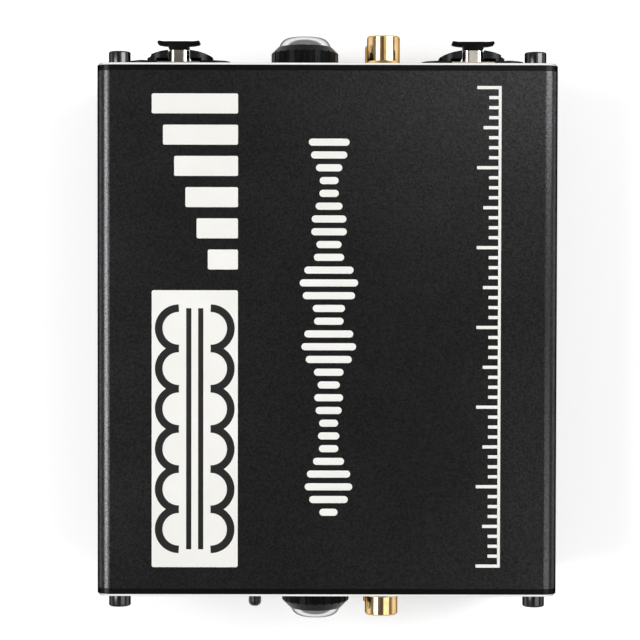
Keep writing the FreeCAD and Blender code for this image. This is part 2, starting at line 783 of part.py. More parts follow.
def contact_places():
    """The three XLR contacts, from the axis."""
    return (
        ("-dim.pin_across", "dim.pin_rise"),
        ("dim.pin_across", "dim.pin_rise"),
        ("0", "-dim.pin_drop"),
    )


def input_xlr_insert(side):
    """Contact carrier with three holes, a base disc and a guide rib."""
    body = new_body(side + "_input_xlr_insert")
    disc = "dim.socket_radius - dim.slip_gap"
    turn(body, (
        ("0", "-dim.insert_back"),
        (disc, "-dim.insert_back"),
        (disc, "-dim.insert_floor"),
        ("dim.insert_radius", "-dim.insert_floor"),
        ("dim.insert_radius", "-dim.insert_recess"),
        ("0", "-dim.insert_recess"),
    ))

    def rib(sketch):
        half = "dim.keyway_width / 2"
        root = "dim.keyway_root - dim.insert_radius"
        draw_box(sketch, "-" + half, half, "dim.slip_gap - (%s)" % disc, root)

    pad(body, rib, "-dim.insert_floor", "dim.keyway_length")

    def holes(sketch, radius):
        for across, up in contact_places():
            draw_circle(sketch, radius, across, up)

    pocket(body, lambda s: holes(s, "dim.contact_hole"), "-dim.insert_recess", "dim.insert_back")
    wide = "dim.contact_radius + dim.slip_gap"
    pocket(body, lambda s: holes(s, wide), "-dim.contact_lip", "dim.insert_back")
    seat(body, "input", xlr_across(side), MIDDLE)
    node(body)


def input_xlr_contacts():
    """Six socket contacts with solder tails."""
    contacts = []
    for side in SIDES:
        for index, (across, up) in enumerate(contact_places()):
            body = new_body("%s_input_contact_%d" % (side, index + 1))
            turn(body, (
                ("0", "-dim.tail_end"),
                ("dim.tail_radius", "-dim.tail_end"),
                ("dim.tail_radius", "-dim.insert_back"),
                ("dim.contact_radius", "-dim.insert_back"),
                ("dim.contact_radius", "-dim.contact_lip"),
                ("dim.contact_hole", "-dim.contact_lip"),
                ("dim.contact_hole", "-dim.insert_floor"),
                ("0", "-dim.insert_floor"),
            ))
            axis = "%s + %s" % (xlr_across(side), mirror("input", across))
            seat(body, "input", axis, "%s + %s" % (MIDDLE, up))
            contacts.append(body)
    group("input_xlr_contacts", contacts)


def latch_lever(side):
    """Bright release lever: hook, arm, pivot pin, wide foot and neck."""
    body = new_body(side + "_latch_lever")
    rest = "dim.lever_rest_gap"
    foot_front = "dim.lever_rest_gap + dim.lever_base_thickness"
    arm_top = "dim.arm_low + dim.arm_thickness"
    hook_front = "dim.hook_thickness - dim.hook_depth"

    def profile(sketch):
        draw_outline(sketch, (
            ("dim.hook_tip", "-dim.hook_depth"),
            (arm_top, "-dim.hook_depth"),
            (arm_top, rest),
            ("dim.lever_neck_top", rest),
            ("dim.lever_neck_top", "dim.lever_neck_reach"),
            ("dim.lever_neck_low", "dim.lever_neck_reach"),
            ("dim.lever_neck_low", "dim.lever_neck_reach / 2"),
            ("dim.arm_low", foot_front),
            ("dim.arm_low", hook_front),
            ("dim.hook_tip", hook_front),
        ))

    def foot(sketch):
        half = "dim.lever_base_width / 2"
        draw_box(sketch, "-" + half, half, arm_top, "dim.lever_base_top")

    across_pad(body, "YZ_Plane", profile, "dim.lever_width")
    pin = lambda s: draw_circle(s, "dim.pivot_radius", "dim.pivot_rise", "-dim.pivot_depth")
    across_pad(body, "YZ_Plane", pin, "dim.pivot_length")
    wide = pad(body, foot, rest, "dim.lever_base_thickness")
    edge_side = number("dim.lever_width / 2")
    top = number("dim.lever_neck_top")
    fillet(body, wide, "dim.lever_neck_round", lambda e: on_side_edge(e, edge_side, top))
    seat(body, "input", xlr_across(side), MIDDLE)
    node(body)


def latch_thumb_bar(side):
    """Black bar on the lever's neck, with two thin wings and upturned tips."""
    body = new_body(side + "_latch_thumb_bar")
    block = "dim.lever_width / 2 + dim.thumb_wall"
    wing = "dim.thumb_width / 2"
    tip = "dim.thumb_tip"
    front = "dim.thumb_reach"
    low_front = "%s - %s" % (front, tip)
    wing_back = "%s - dim.thumb_wing" % low_front
    right = (
        (block, "dim.lever_neck_reach"),
        (block, wing_back),
        ("%s - 2 * %s" % (wing, tip), wing_back),
        (wing, "%s + 2 * %s" % (wing_back, tip)),
        ("%s - %s" % (wing, tip), front),
        ("%s - 3 * %s" % (wing, tip), low_front),
        (block, low_front),
    )
    left = tuple(("-(%s)" % across, out) for across, out in reversed(right))
    sketch = new_sketch(body, "XZ_Plane", "-dim.thumb_top")
    draw_outline(sketch, right + left)
    along(body, "Pad", sketch, "dim.thumb_top - dim.thumb_low")
    seat(body, "input", xlr_across(side), MIDDLE)
    node(body)


def latch_springs():
    """Leaf springs from the shell's back over the latch arms, drawn at full lift."""
    springs = []
    for side in SIDES:
        body = new_body(side + "_latch_leaf")
        low = "dim.shell_radius"
        raised = "dim.arm_low + dim.arm_thickness + dim.latch_lift"
        thick = "dim.latch_spring_thickness"
        slot_end = "-(dim.hook_depth + dim.hook_thickness)"
        step = "dim.latch_spring_step"
        back = "%s / 2 - dim.shell_depth" % step
        foot = "%s - %s" % (slot_end, step)
        bend = "%s + %s" % (slot_end, step)
        front = "%s + 2 * %s" % (slot_end, step)
        across_pad(body, "YZ_Plane", lambda s: draw_outline(s, (
            (low, back),
            (low + " + " + thick, back),
            (low + " + " + thick, foot),
            (raised + " + " + thick, bend),
            (raised + " + " + thick, front),
            (raised, front),
            (raised, bend),
            (low, foot),
        )), "dim.latch_spring_width")
        seat(body, "input", xlr_across(side), MIDDLE)
        springs.append(body)
    group("input_xlr_latch_springs", springs)


def flange_screw(label, end):
    """Screw of an XLR flange: raised head at the input end, countersunk at the output end."""
    body = new_body(label)
    length = "-dim.flange_screw_length"
    if end == "input":
        seat_height = "dim.input_flange_thickness - dim.flange_head_sunk"
        top = "dim.input_flange_thickness + dim.flange_head_rise"
        head = (
            ("dim.shank_radius", seat_height),
            ("dim.flange_head_radius", seat_height),
            ("dim.flange_head_radius", "dim.input_flange_thickness"),
            ("dim.flange_head_flat", top),
            ("0", top),
        )
    else:
        rim = "dim.shank_radius + dim.cone_depth"
        head = (
            ("dim.shank_radius", "-dim.cone_depth - dim.slip_gap"),
            (rim, "-dim.slip_gap"),
            ("0", "-dim.slip_gap"),
        )
    turn(body, (("0", length), ("dim.shank_radius", length)) + head)
    return body


def flange_screws(end):
    """The two flange screws of each XLR socket of an end."""
    screws = []
    for side in SIDES:
        for index, (across, up) in enumerate(flange_screw_places(side, end)):
            screw = flange_screw("%s_%s_flange_screw_%d" % (side, end, index + 1), end)
            axis = "%s + %s" % (xlr_across(side), mirror(end, across))
            seat(screw, end, axis, "%s + %s" % (MIDDLE, up))
            screws.append(screw)
    group(end + "_xlr_screws", screws)


# XLR plugs of the output end

def output_xlr_shell(side):
    """Cast shell with its flange behind the plate and its rim flush with it."""
    body = new_body(side + "_output_xlr_shell")
    thick = "dim.output_flange_thickness"
    radius = "dim.output_flange_radius"
    flat = lambda s: draw_round_box(s, "dim.flange_width", "dim.flange_height", radius)
    pad(body, lambda s: draw_circle(s, "dim.shell_radius"), "-dim.shell_depth", "dim.shell_depth")
    pad(body, flat, "-(dim.plate_thickness + %s)" % thick, thick)
    pocket(body, lambda s: draw_circle(s, "dim.output_bore_radius"), "0", "dim.shell_depth")

    def catch(sketch):
        half = "dim.catch_width / 2"
        top = "dim.output_bore_radius + dim.catch_rise"
        draw_box(sketch, "-" + half, half, "dim.output_bore_radius - dim.catch_rise", top)

    pocket(body, catch, "0", "dim.catch_depth")

    def shanks(sketch):
        for across, up in flange_screw_places(side, "output"):
            draw_circle(sketch, "dim.channel_radius", across, up)

    pocket(body, shanks, "-dim.plate_thickness", thick)
    seat(body, "output", xlr_across(side), MIDDLE)
    node(body)


def output_xlr_insert(side):
    """Disc at the bottom of the bore that holds the three pins."""
    body = new_body(side + "_output_xlr_insert")
    thick = "dim.output_insert_back - dim.output_floor"
    disc = "dim.output_bore_radius - dim.slip_gap"
    pad(body, lambda s: draw_circle(s, disc), "-dim.output_insert_back", thick)

    def holes(sketch):
        for across, up in contact_places():
            draw_circle(sketch, "dim.xlr_pin_radius + dim.slip_gap", across, up)

    pocket(body, holes, "-dim.output_floor", thick)
    seat(body, "output", xlr_across(side), MIDDLE)
    node(body)


def output_xlr_pins(side):
    """Three pins with rounded tips and solder tails."""
    pins = []
    for index, (across, up) in enumerate(contact_places()):
        body = new_body("%s_output_pin_%d" % (side, index + 1))
        tip = "dim.xlr_pin_tip"
        turn(body, (
            ("0", "-dim.tail_end"),
            ("dim.tail_radius", "-dim.tail_end"),
            ("dim.tail_radius", "-dim.output_insert_back"),
            ("dim.xlr_pin_radius", "-dim.output_insert_back"),
            ("dim.xlr_pin_radius", "-dim.xlr_pin_recess - %s" % tip),
            (tip, "-dim.xlr_pin_recess"),
            ("0", "-dim.xlr_pin_recess"),
        ))
        seat(body, "output", "%s + %s" % (xlr_across(side), across), "%s + %s" % (MIDDLE, up))
        pins.append(body)
    group(side + "_output_xlr_pins", pins)


# Jack sockets

def jack_body(end, level):
    """Square moulded body behind the plate, with the plug way and two contact slots."""
    body = new_body("%s_%s_jack_body" % (end, level))
    half = "dim.jack_body_width / 2"
    back = "-(dim.board_depth + %s)" % setback(end)
    front = "-dim.plate_thickness"
    block = lambda s: draw_box(s, "-" + half, half, "-" + half, half)
    pad(body, block, back, "%s - (%s)" % (front, back))
    way ="dim.jack_way_depth - dim.plate_thickness"
    pocket(body, lambda s: draw_circle(s, "dim.jack_relief"), front, way)
    bushing = "dim.thread_radius + dim.thread_gap"
    pocket(body, lambda s: draw_circle(s, bushing), front, "dim.bushing_depth - dim.plate_thickness")

    def slots(sketch):
        tall = "dim.spring_slot / 2"
        draw_box(sketch, "-dim.spring_reach", "dim.spring_reach", "-" + tall, tall)

    pocket(body, slots, "-dim.spring_front", "dim.jack_way_depth - dim.spring_front")

    def lead_holes(sketch):
        for across in lead_places():
            draw_circle(sketch, "dim.lead_hole", across)

    pocket(body, lead_holes, "-dim.jack_way_depth", "dim.board_depth")
    seat(body, end, jack_across(end), jack_up(level))
    node(body)


def lead_places():
    """The two leads of a jack, to each side of its axis."""
    place_across = "(dim.spring_reach - dim.lead_radius - dim.spring_thickness)"
    return ("-" + place_across, place_across)


def jack_bushings(end):
    """Threaded bushings through plate and nut, with the plug's bore."""
    bushings = []
    for level in LEVELS:
        body = new_body("%s_%s_jack_bushing" % (end, level))
        turn(body, (
            ("dim.jack_relief", "-dim.bushing_depth"),
            ("dim.thread_radius", "-dim.bushing_depth"),
            ("dim.thread_radius", "dim.ring_seat"),
            ("dim.jack_bore", "dim.ring_seat"),
            ("dim.jack_bore", "0"),
            ("dim.jack_relief", "0"),
        ))
        seat(body, end, jack_across(end), jack_up(level))
        bushings.append(body)
    group(end + "_jack_bushings", bushings)


def jack_nuts(end):
    """Bevelled nuts with ribs all round."""
    nuts = []
    for level in LEVELS:
        body = new_body("%s_%s_jack_nut" % (end, level))
        inner = "dim.thread_radius + dim.thread_gap"
        seat_radius = "dim.%s_ring_radius + dim.slip_gap" % end
        height = "dim.%s_nut_height" % end
        bevel = "dim.%s_nut_bevel" % end
        turn(body, (
            (inner, "0"),
            ("dim.nut_radius", "0"),
            ("dim.nut_radius", "%s - %s" % (height, bevel)),
            ("dim.nut_radius - " + bevel, height),
            (seat_radius, height),
            (seat_radius, "dim.ring_seat"),
            (inner, "dim.ring_seat"),
        ))
        groove = lambda s: draw_circle(s, "dim.rib_groove", "0", "dim.nut_radius")
        cut = pocket(body, groove, height, height)
        doc.recompute()
        ribs = body.newObject("PartDesign::PolarPattern", "PolarPattern")
        ribs.Originals = [cut]
        ribs.Axis = (cut.Profile[0], ["N_Axis"])
        ribs.Angle = 360
        bind(ribs, Occurrences="dim.rib_count")
        body.Tip = ribs
        seat(body, end, jack_across(end), jack_up(level))
        nuts.append(body)
    group(end + "_jack_nuts", nuts)


def jack_rings(end):
    """Chromed rings seated in the nuts, with a rounded front."""
    rings = []
    for level in LEVELS:
        body = new_body("%s_%s_jack_ring" % (end, level))
        front = "dim.%s_ring_reach" % end
        outer = "dim.%s_ring_radius" % end
        ring = turn(body, (
            ("dim.jack_bore", "dim.ring_seat"),
            (outer, "dim.ring_seat"),
            (outer, front),
            ("dim.jack_bore", front),
        ))
        fillet(body, ring, "dim.ring_round", rim_at(front, outer))
        seat(body, end, jack_across(end), jack_up(level))
        rings.append(body)
    group(end + "_jack_rings", rings)


def jack_contacts(end):
    """Bent contact leaves beside each plug way, with leads through the board."""
    contacts = []
    wall = "dim.spring_reach - dim.slip_gap"
    leaf = "dim.spring_thickness"
    back = "-(dim.jack_way_depth - dim.slip_gap)"
    touch = "dim.jack_relief + dim.slip_gap"
    lead_end = "dim.board_depth + %s + dim.board_thickness + dim.lead_stub" % setback(end)
    for level in LEVELS:
        for sign in ("", "-"):
            body = new_body("%s_%s_jack_leaf_%s" % (end, level, "right" if sign else "left"))
            middle = "-(dim.spring_front + dim.jack_way_depth) / 2"
            front = "-(dim.spring_front + dim.slip_gap + %s)" % leaf
            touch_end = middle + " - dim.spring_touch"
            profile = (
                (wall, back),
                (wall, front),
                (wall + " - " + leaf, front),
                (touch, middle + " + dim.spring_touch"),
                (touch, touch_end),
                (touch + " + " + leaf, touch_end),
                (wall + " - " + leaf, middle + " - 2 * dim.spring_touch"),
                (wall + " - " + leaf, back + " + " + leaf),
                (wall + " - 2 * (dim.lead_radius + %s)" % leaf, back + " + " + leaf),
                (wall + " - 2 * (dim.lead_radius + %s)" % leaf, back),
            )
            corners = tuple(("%s(%s)" % (sign, across), out) for across, out in profile)
            across_pad(body, "XZ_Plane", lambda s: draw_outline(s, corners), "dim.spring_width")
            lead = "%s(%s)" % (sign, lead_places()[1])
            length = "%s + (%s)" % (lead_end, back)
            pad(body, lambda s: draw_circle(s, "dim.lead_radius", lead), "-(%s)" % lead_end, length)
            seat(body, end, jack_across(end), jack_up(level))
            contacts.append(body)
    group(end + "_jack_contacts", contacts)


# Phono sockets

def phono_housing(end):
    """Black block behind the plate that carries both phono sockets."""
    body = new_body(end + "_phono_housing")
    half = "dim.phono_housing_width / 2"
    tall = "dim.phono_housing_height / 2"
    back = "dim.phono_housing_back"
    front = "-dim.plate_thickness"
    block = lambda s: draw_box(s, "-" + half, half, "-" + tall, tall)
    pad(body, block, "-" + back, "%s + %s" % (back, front))

    def pair(sketch, radius):
        for sign in ("", "-"):
            draw_circle(sketch, radius, "0", sign + "dim.phono_pitch / 2")

    barrel = "dim.phono_radius + dim.slip_gap"
    pocket(body, lambda s: pair(s, barrel), front, "dim.phono_back - dim.plate_thickness")
    pocket(body, lambda s: pair(s, "dim.lead_hole"), "-dim.phono_back", back)
    screw = "dim.phono_screw_radius + dim.slip_gap"
    pocket(body, lambda s: draw_circle(s, screw), front, "dim.phono_screw_length")
    seat(body, end, phono_across(end), MIDDLE)
    node(body)


def phono_barrels(end):
    """Gilt barrels with a cone at the foot and a softened rim."""
    barrels = []
    for level in LEVELS:
        body = new_body("%s_%s_phono_barrel" % (end, level))
        front = phono_front(end)
        inner = "dim.phono_radius - dim.phono_wall"
        turn(body, (
            (inner, "-dim.phono_back"),
            ("dim.phono_radius", "-dim.phono_back"),
            ("dim.phono_radius", "0"),
            ("dim.phono_foot_radius", "0"),
            ("dim.phono_foot_radius", "dim.phono_foot_height - dim.phono_foot_cone"),
            ("dim.phono_radius", "dim.phono_foot_height"),
            ("dim.phono_radius", front + " - dim.phono_rim"),
            ("dim.phono_radius - dim.phono_rim", front),
            (inner, front),
        ))
        seat(body, end, phono_across(end), phono_up(level))
        barrels.append(body)
    group(end + "_phono_barrels", barrels)


def phono_insulators(label, level):
    """Insulators of one colour, one at each end."""
    insulators = []
    for end in ENDS:
        body = new_body("%s_%s_phono_insulator" % (end, level))
        outer = "dim.phono_radius - dim.phono_wall - dim.slip_gap"
        front = phono_front(end) + " - dim.phono_recess"
        hole ="dim.phono_contact_radius + dim.slip_gap"
        step = "dim.phono_contact_front + dim.slip_gap"
        turn(body, (
            (hole, "-dim.phono_back"),
            (outer, "-dim.phono_back"),
            (outer, front),
            ("dim.phono_pin_hole", front),
            ("dim.phono_pin_hole", step),
            (hole, step),
        ))
        seat(body, end, phono_across(end), phono_up(level))
        insulators.append(body)
    group(label, insulators)


def phono_contacts(end):
    """Pin contacts inside the insulators, with leads back to the board."""
    contacts = []
    lead_end = "-(dim.board_depth + %s + dim.board_thickness + dim.lead_stub)" % setback(end)
    floor = "-dim.phono_contact_floor"
    for level in LEVELS:
        body = new_body("%s_%s_phono_contact" % (end, level))
        turn(body, (
            ("0", lead_end),
            ("dim.lead_radius", lead_end),
            ("dim.lead_radius", "-dim.phono_back"),
            ("dim.phono_contact_radius", "-dim.phono_back"),
            ("dim.phono_contact_radius", "dim.phono_contact_front"),
            ("dim.phono_pin_hole", "dim.phono_contact_front"),
            ("dim.phono_pin_hole", floor),
            ("0", floor),
        ))
        seat(body, end, phono_across(end), phono_up(level))
        contacts.append(body)
    group(end + "_phono_contacts", contacts)


def phono_screws():
    """Self-tapping screw between the two phono sockets of each end."""
    screws = []
    for end in ENDS:
        body = new_body(end + "_phono_screw")
        turn(body, (
            ("0", "-dim.phono_screw_length"),
            ("dim.phono_screw_radius", "-dim.phono_screw_length"),
            ("dim.phono_screw_radius", "0"),
            ("dim.phono_screw_head", "0"),
            ("dim.phono_screw_head", "dim.phono_screw_edge"),
            ("dim.phono_screw_flat", "dim.phono_screw_rise"),
            ("0", "dim.phono_screw_rise"),
        ))
        seat(body, end, phono_across(end), MIDDLE)
        screws.append(body)
    group("phono_block_screws", screws)


# Ground lift switch

def switch_body():
    """Square switch body with a close guide at the front and a spring chamber."""
    body = new_body("ground_switch_body")
    half = "dim.switch_width / 2"
    back = "dim.board_depth + dim.output_setback"
    nose = "dim.switch_front + dim.switch_nose"
    pad(
        body, lambda s: draw_box(s, "-" + half, half, "-" + half, half),
        "-(%s)" % back, "%s - dim.switch_front" % back,
    )
    guide = "dim.button_radius + dim.slip_gap"
    pocket(body, lambda s: draw_circle(s, guide), "-dim.switch_front", nose)
    chamber = "dim.switch_chamber_end - (%s)" % nose
    pocket(body, lambda s: draw_circle(s, "dim.switch_chamber"), "-(%s)" % nose, chamber)
    seat(body, "output", "dim.switch_across", MIDDLE)
    node(body)


def switch_button():
    """Push button with a domed tip and the collar that keeps it in."""
    body = new_body("ground_switch_button")
    stop = "-(dim.switch_front + dim.switch_nose + dim.slip_gap)"
    collar_back = stop + " - dim.button_collar_length"
    stem = turn(body, (
        ("0", collar_back),
        ("dim.button_collar", collar_back),
        ("dim.button_collar", stop),
        ("dim.button_radius", stop),
        ("dim.button_radius", "dim.button_reach"),
        ("0", "dim.button_reach"),
    ))
    fillet(body, stem, "dim.button_dome", rim_at("dim.button_reach", "dim.button_radius"))
    seat(body, "output", "dim.switch_across", MIDDLE)
    node(body)


def switch_spring():
    """Return spring at the bottom of the chamber, drawn at its pressed length."""
    body = new_body("ground_switch_spring")
    wire = "dim.switch_spring_wire"
    collar = "dim.button_collar_length + dim.switch_spring_gap"
    pressed = "dim.switch_front + dim.switch_nose + dim.button_travel + " + collar
    length = "(dim.switch_chamber_end - (%s) - %s - 2 * dim.slip_gap)" % (pressed, wire)
    sketch = new_sketch(body, "XZ_Plane")
    start = "-dim.switch_chamber_end + %s / 2 + dim.slip_gap" % wire
    draw_circle(sketch, wire + " / 2", "dim.switch_spring_radius", start)
    coil = body.newObject("PartDesign::AdditiveHelix", "AdditiveHelix")
    coil.Profile = sketch
    coil.ReferenceAxis = (sketch, ["V_Axis"])
    coil.Mode = "height-turns-angle"
    bind(coil, Height=length, Turns="dim.switch_spring_turns")
    seat(body, "output", "dim.switch_across", MIDDLE)
    node(body)


# Boards, transformers and wires

def board_face(end):
    """Front face of a connector board behind its plate face."""
    return "(dim.board_depth + %s)" % setback(end)


def connector_board(end):
    """Upright board behind the jacks and phono sockets, drilled for their leads."""
    body = new_body(end + "_connector_board")
    wide = "dim.board_half_width"
    top = "dim.sleeve_height - dim.board_margin"
    thick = "dim.board_thickness"
    face = "-" + board_face(end)
    pad(
        body, lambda s: draw_box(s, "-" + wide, wide, "dim.board_margin", top),
        "%s - %s" % (face, thick), thick,
    )

    def leads(sketch):
        for level in LEVELS:
            for across in lead_places():
                axis = "%s + %s" % (mirror(end, jack_across(end)), across)
                draw_circle(sketch, "dim.lead_hole", axis, jack_up(level))
            draw_circle(sketch, "dim.lead_hole", mirror(end, phono_across(end)), phono_up(level))

    pocket(body, leads, face, thick)
    seat(body, end)
    node(body)


def main_board():
    """Flat board held in the sleeve's rails, between the two connector boards."""
    board = doc.addObject("Part::Box", "main_board")
    board.Label = "main_board"
    width = "dim.sleeve_width - 2 * (dim.sleeve_wall + dim.board_gap)"
    board_back = "dim.board_depth + dim.board_thickness"
    half = "dim.sleeve_length / 2 + dim.plate_thickness - (%s) - dim.board_gap" % board_back
    back ="-(%s - dim.output_setback)" % half
    bind(board, Length=width, Width="(%s) - (%s)" % (half, back), Height="dim.board_thickness")
    place(board, "-(%s) / 2" % width, back, "dim.foot_height + dim.board_level")
    node(board)


def board_top():
    """Upper face of the main board above the ground."""
    return "dim.foot_height + dim.board_level + dim.board_thickness"


def pin_headers():
    """Pin headers that join the connector boards to the main board."""
    headers = []
    for end in ENDS:
        body = new_body(end + "_pin_header")
        half = "dim.header_width / 2"
        side = "dim.header_side"
        low = "dim.board_level + dim.board_thickness"
        back = "-(%s + dim.board_thickness)" % board_face(end)
        pad(
            body, lambda s: draw_box(s, "-" + half, half, low, "%s + %s" % (low, side)),
            "%s - %s" % (back, side), side,
        )
        seat(body, end, "dim.header_across")
        headers.append(body)
    group("board_pin_headers", headers)


def transformer_core(side):
    """Lamination stack with two windows."""
    body = new_body(side + "_transformer_core")
    half = "dim.core_width / 2"
    tall = "dim.core_height"
    limb = "dim.core_limb"
    centre = "dim.core_centre / 2"

    def windows(sketch):
        for sign in ("", "-"):
            near = "%s(%s)" % (sign, centre)
            far = "%s(%s - %s)" % (sign, half, limb)
            low, high = (near, far) if sign == "" else (far, near)
            draw_box(sketch, low, high, limb, "%s - %s" % (tall, limb))

    across_pad(body, "XZ_Plane", lambda s: draw_box(s, "-" + half, half, "0", tall), "dim.core_stack")
    across_pocket(body, "XZ_Plane", windows, "dim.core_stack")
    place(
        body, "%d * dim.transformer_spacing / 2" % SIDES[side],
        up=board_top() + " + dim.coil_foot",
    )
    node(body)


def transformer_coil(side):
    """Wound former round the centre limb, standing on the main board."""
    body = new_body(side + "_transformer_coil")
    gap = "dim.coil_gap"
    outer = "dim.core_width / 2 - dim.core_limb - %s" % gap
    low = "dim.core_limb + " + gap
    high = "dim.core_height - dim.core_limb - " + gap
    deep = "dim.core_stack + 2 * dim.coil_overhang"
    inner = "dim.core_centre / 2 + " + gap
    stack = "dim.core_stack + 2 * " + gap
    across_pad(body, "XZ_Plane", lambda s: draw_box(s, "-(%s)" % outer, outer, low, high), deep)
    limb_way = lambda s: draw_box(s, "-(%s)" % inner, inner, "0", "dim.core_height")
    across_pocket(body, "XZ_Plane", limb_way, stack)
    for sign in (1, -1):
        near = "%d * (%s) / 2" % (sign, stack)
        far = "%d * (%s) / 2" % (sign, deep)
        back, front = (near, far) if sign > 0 else (far, near)
        leg = lambda s: draw_box(s, "-(%s)" % outer, outer, back, front)
        pad(body, leg, "-dim.coil_foot", "dim.coil_foot + " + low)
    place(
        body, "%d * dim.transformer_spacing / 2" % SIDES[side],
        up=board_top() + " + dim.coil_foot",
    )
    node(body)


def hookup_wires():
    """Wires from the XLR solder tails back and down to the main board."""
    wires = []
    for end in ENDS:
        outwards = 1 if end == "input" else -1
        tail = "%d * (dim.sleeve_length / 2 + dim.plate_thickness - dim.tail_end)" % outwards
        for side in SIDES:
            for index, (across, up) in enumerate(contact_places()):
                body = new_body("%s_%s_wire_%d" % (side, end, index + 1))
                height = "%s + %s" % (MIDDLE, up)
                add_wire(body, outwards, height + " - dim.board_level - dim.board_thickness")
                axis = "%s + %s" % (xlr_across(side), mirror(end, across))
                place(body, axis, tail, "dim.foot_height + " + height)
                wires.append(body)
    group("hookup_wires", wires)


def add_wire(body, outwards, drop):
    """Round wire that runs inwards, bends down and ends after a drop."""
    run = "%d * dim.wire_run" % -outwards
    turn_start = "%d * (dim.wire_run - dim.wire_bend)" % -outwards
    path = new_sketch(body, "YZ_Plane")
    straight = path.addGeometry(Part.LineSegment(at("0", "0"), at(turn_start, "0")), False)
    fall = Part.LineSegment(at(run, "-dim.wire_bend"), at(run, "-(%s)" % drop))
    down = path.addGeometry(fall, False)
    centre = at(turn_start, "-dim.wire_bend")
    circle = Part.Circle(centre, FreeCAD.Vector(0, 0, 1), number("dim.wire_bend"))
    span = (math.pi / 2, math.pi) if outwards > 0 else (0, math.pi / 2)
    arc = path.addGeometry(Part.ArcOfCircle(circle, *span), False)
    near, far = (1, 2) if outwards > 0 else (2, 1)
    path.addConstraint(Sketcher.Constraint("Coincident", straight, 2, arc, near))
    path.addConstraint(Sketcher.Constraint("Coincident", arc, far, down, 1))
    fix_point(path, straight, 1, "0", "0")
    fix_point(path, straight, 2, turn_start, "0")
    fix_distance(path, "DistanceY", arc, 3, "-dim.wire_bend")
    fix_point(path, down, 1, run, "-dim.wire_bend")
    fix_point(path, down, 2, run, "-(%s)" % drop)
    section = new_sketch(body, "XZ_Plane")
    draw_circle(section, "dim.wire_radius")
    sweep = body.newObject("PartDesign::AdditivePipe", "AdditivePipe")
    sweep.Profile = section
    sweep.Spine = path


def check_document():
    """Stop if any object failed or any sub-part has no valid solid."""
    for thing in doc.Objects:
        if "Invalid" in thing.State or "Error" in thing.State:
            raise ValueError("%s (%s) failed: %s" % (thing.Name, thing.Label, thing.State))
    for thing in nodes:
        shape = thing.Shape
        if shape.isNull() or not shape.isValid() or not shape.Solids:
            raise ValueError("%s has no valid solid" % thing.Label)


def export_nodes():
    """Write each sub-part to its own file."""
    os.makedirs("parts", exist_ok=True)
    for thing in nodes:
        thing.Shape.exportStep("parts/%s.step" % thing.Label)


def build():
    """Build every sub-part."""
    enclosure_sleeve()
    rubber_feet()
    for end in ENDS:
        end_plate(end)
        plate_screws(end)
        flange_screws(end)
        for level in LEVELS:
            jack_body(end, level)
        jack_bushings(end)
        jack_nuts(end)
        jack_rings(end)
        jack_contacts(end)
        phono_housing(end)
        phono_barrels(end)
        phono_contacts(end)
        connector_board(end)
    for side in SIDES:
        input_xlr_shell(side)
        input_xlr_insert(side)
        latch_lever(side)
        latch_thumb_bar(side)
        output_xlr_shell(side)
        output_xlr_insert(side)
        output_xlr_pins(side)
        transformer_core(side)
        transformer_coil(side)
    input_xlr_contacts()
    latch_springs()
    phono_insulators("phono_white_insulators", "upper")
    phono_insulators("phono_red_insulators", "lower")
    phono_screws()
    switch_body()
    switch_button()
    switch_spring()
    main_board()
    pin_headers()
    hookup_wires()


fill_sheet()
build()
doc.recompute()
check_document()
export_nodes()
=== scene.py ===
import json
import logging
import math
from dataclasses import dataclass
from enum import Enum

import bmesh
import bpy
import numpy as np
from mathutils import Matrix, Vector


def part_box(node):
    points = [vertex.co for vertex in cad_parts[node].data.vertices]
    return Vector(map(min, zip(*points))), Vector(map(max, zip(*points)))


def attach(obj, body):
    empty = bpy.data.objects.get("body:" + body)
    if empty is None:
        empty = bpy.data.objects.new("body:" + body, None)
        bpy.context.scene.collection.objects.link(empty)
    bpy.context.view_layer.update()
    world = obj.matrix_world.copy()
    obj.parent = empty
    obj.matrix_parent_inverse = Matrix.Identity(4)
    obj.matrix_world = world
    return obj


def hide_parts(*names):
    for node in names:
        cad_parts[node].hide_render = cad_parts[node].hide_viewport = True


# Looks of a passive two-channel ground loop isolator. Lengths named *_mm are millimetres;
# everything handed to Blender is metres, in the frame of the construction.

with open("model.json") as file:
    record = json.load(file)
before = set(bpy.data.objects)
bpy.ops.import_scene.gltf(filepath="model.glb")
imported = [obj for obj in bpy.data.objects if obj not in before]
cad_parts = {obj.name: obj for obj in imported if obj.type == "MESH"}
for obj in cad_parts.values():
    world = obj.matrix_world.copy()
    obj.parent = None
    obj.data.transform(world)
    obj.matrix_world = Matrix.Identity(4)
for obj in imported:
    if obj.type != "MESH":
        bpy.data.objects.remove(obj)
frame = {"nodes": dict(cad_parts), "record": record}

MM = 0.001
LOG = logging.getLogger("ground_loop_isolator")

Colour = tuple[float, float, float, float]
Socket = bpy.types.NodeSocket
Tree = bpy.types.NodeTree

# Nearly all values of a noise texture lie between these two.
NOISE_LOW = 0.3
NOISE_HIGH = 0.7

# Nothing is polished better than this.
MIRROR_ROUGHNESS = 0.02


class Labelled(Enum):
    """A choice whose members are also words in the names of nodes."""

    @property
    def label(self) -> str:
        """The member's name as the nodes have it."""
        return self.name.lower()


class End(Labelled):
    """The two ends of the case, each with the way its plate faces along Y."""

    INPUT = 1
    OUTPUT = -1


class Side(Labelled):
    """The two sides of the case, each with its sign along X."""

    LEFT = -1
    RIGHT = 1


def linear(code: str) -> Colour:
    """Turn an sRGB hex colour into linear light.

    Args:
        code: six hex digits with a leading hash.

    Returns:
        Red, green, blue and an alpha of one.
    """
    parts = np.array([int(code[i:i + 2], 16) for i in (1, 3, 5)]) / 255.0
    low = parts / 12.92
    high = ((parts + 0.055) / 1.055) ** 2.4
    light = np.where(parts <= 0.04045, low, high)
    return (float(light[0]), float(light[1]), float(light[2]), 1.0)


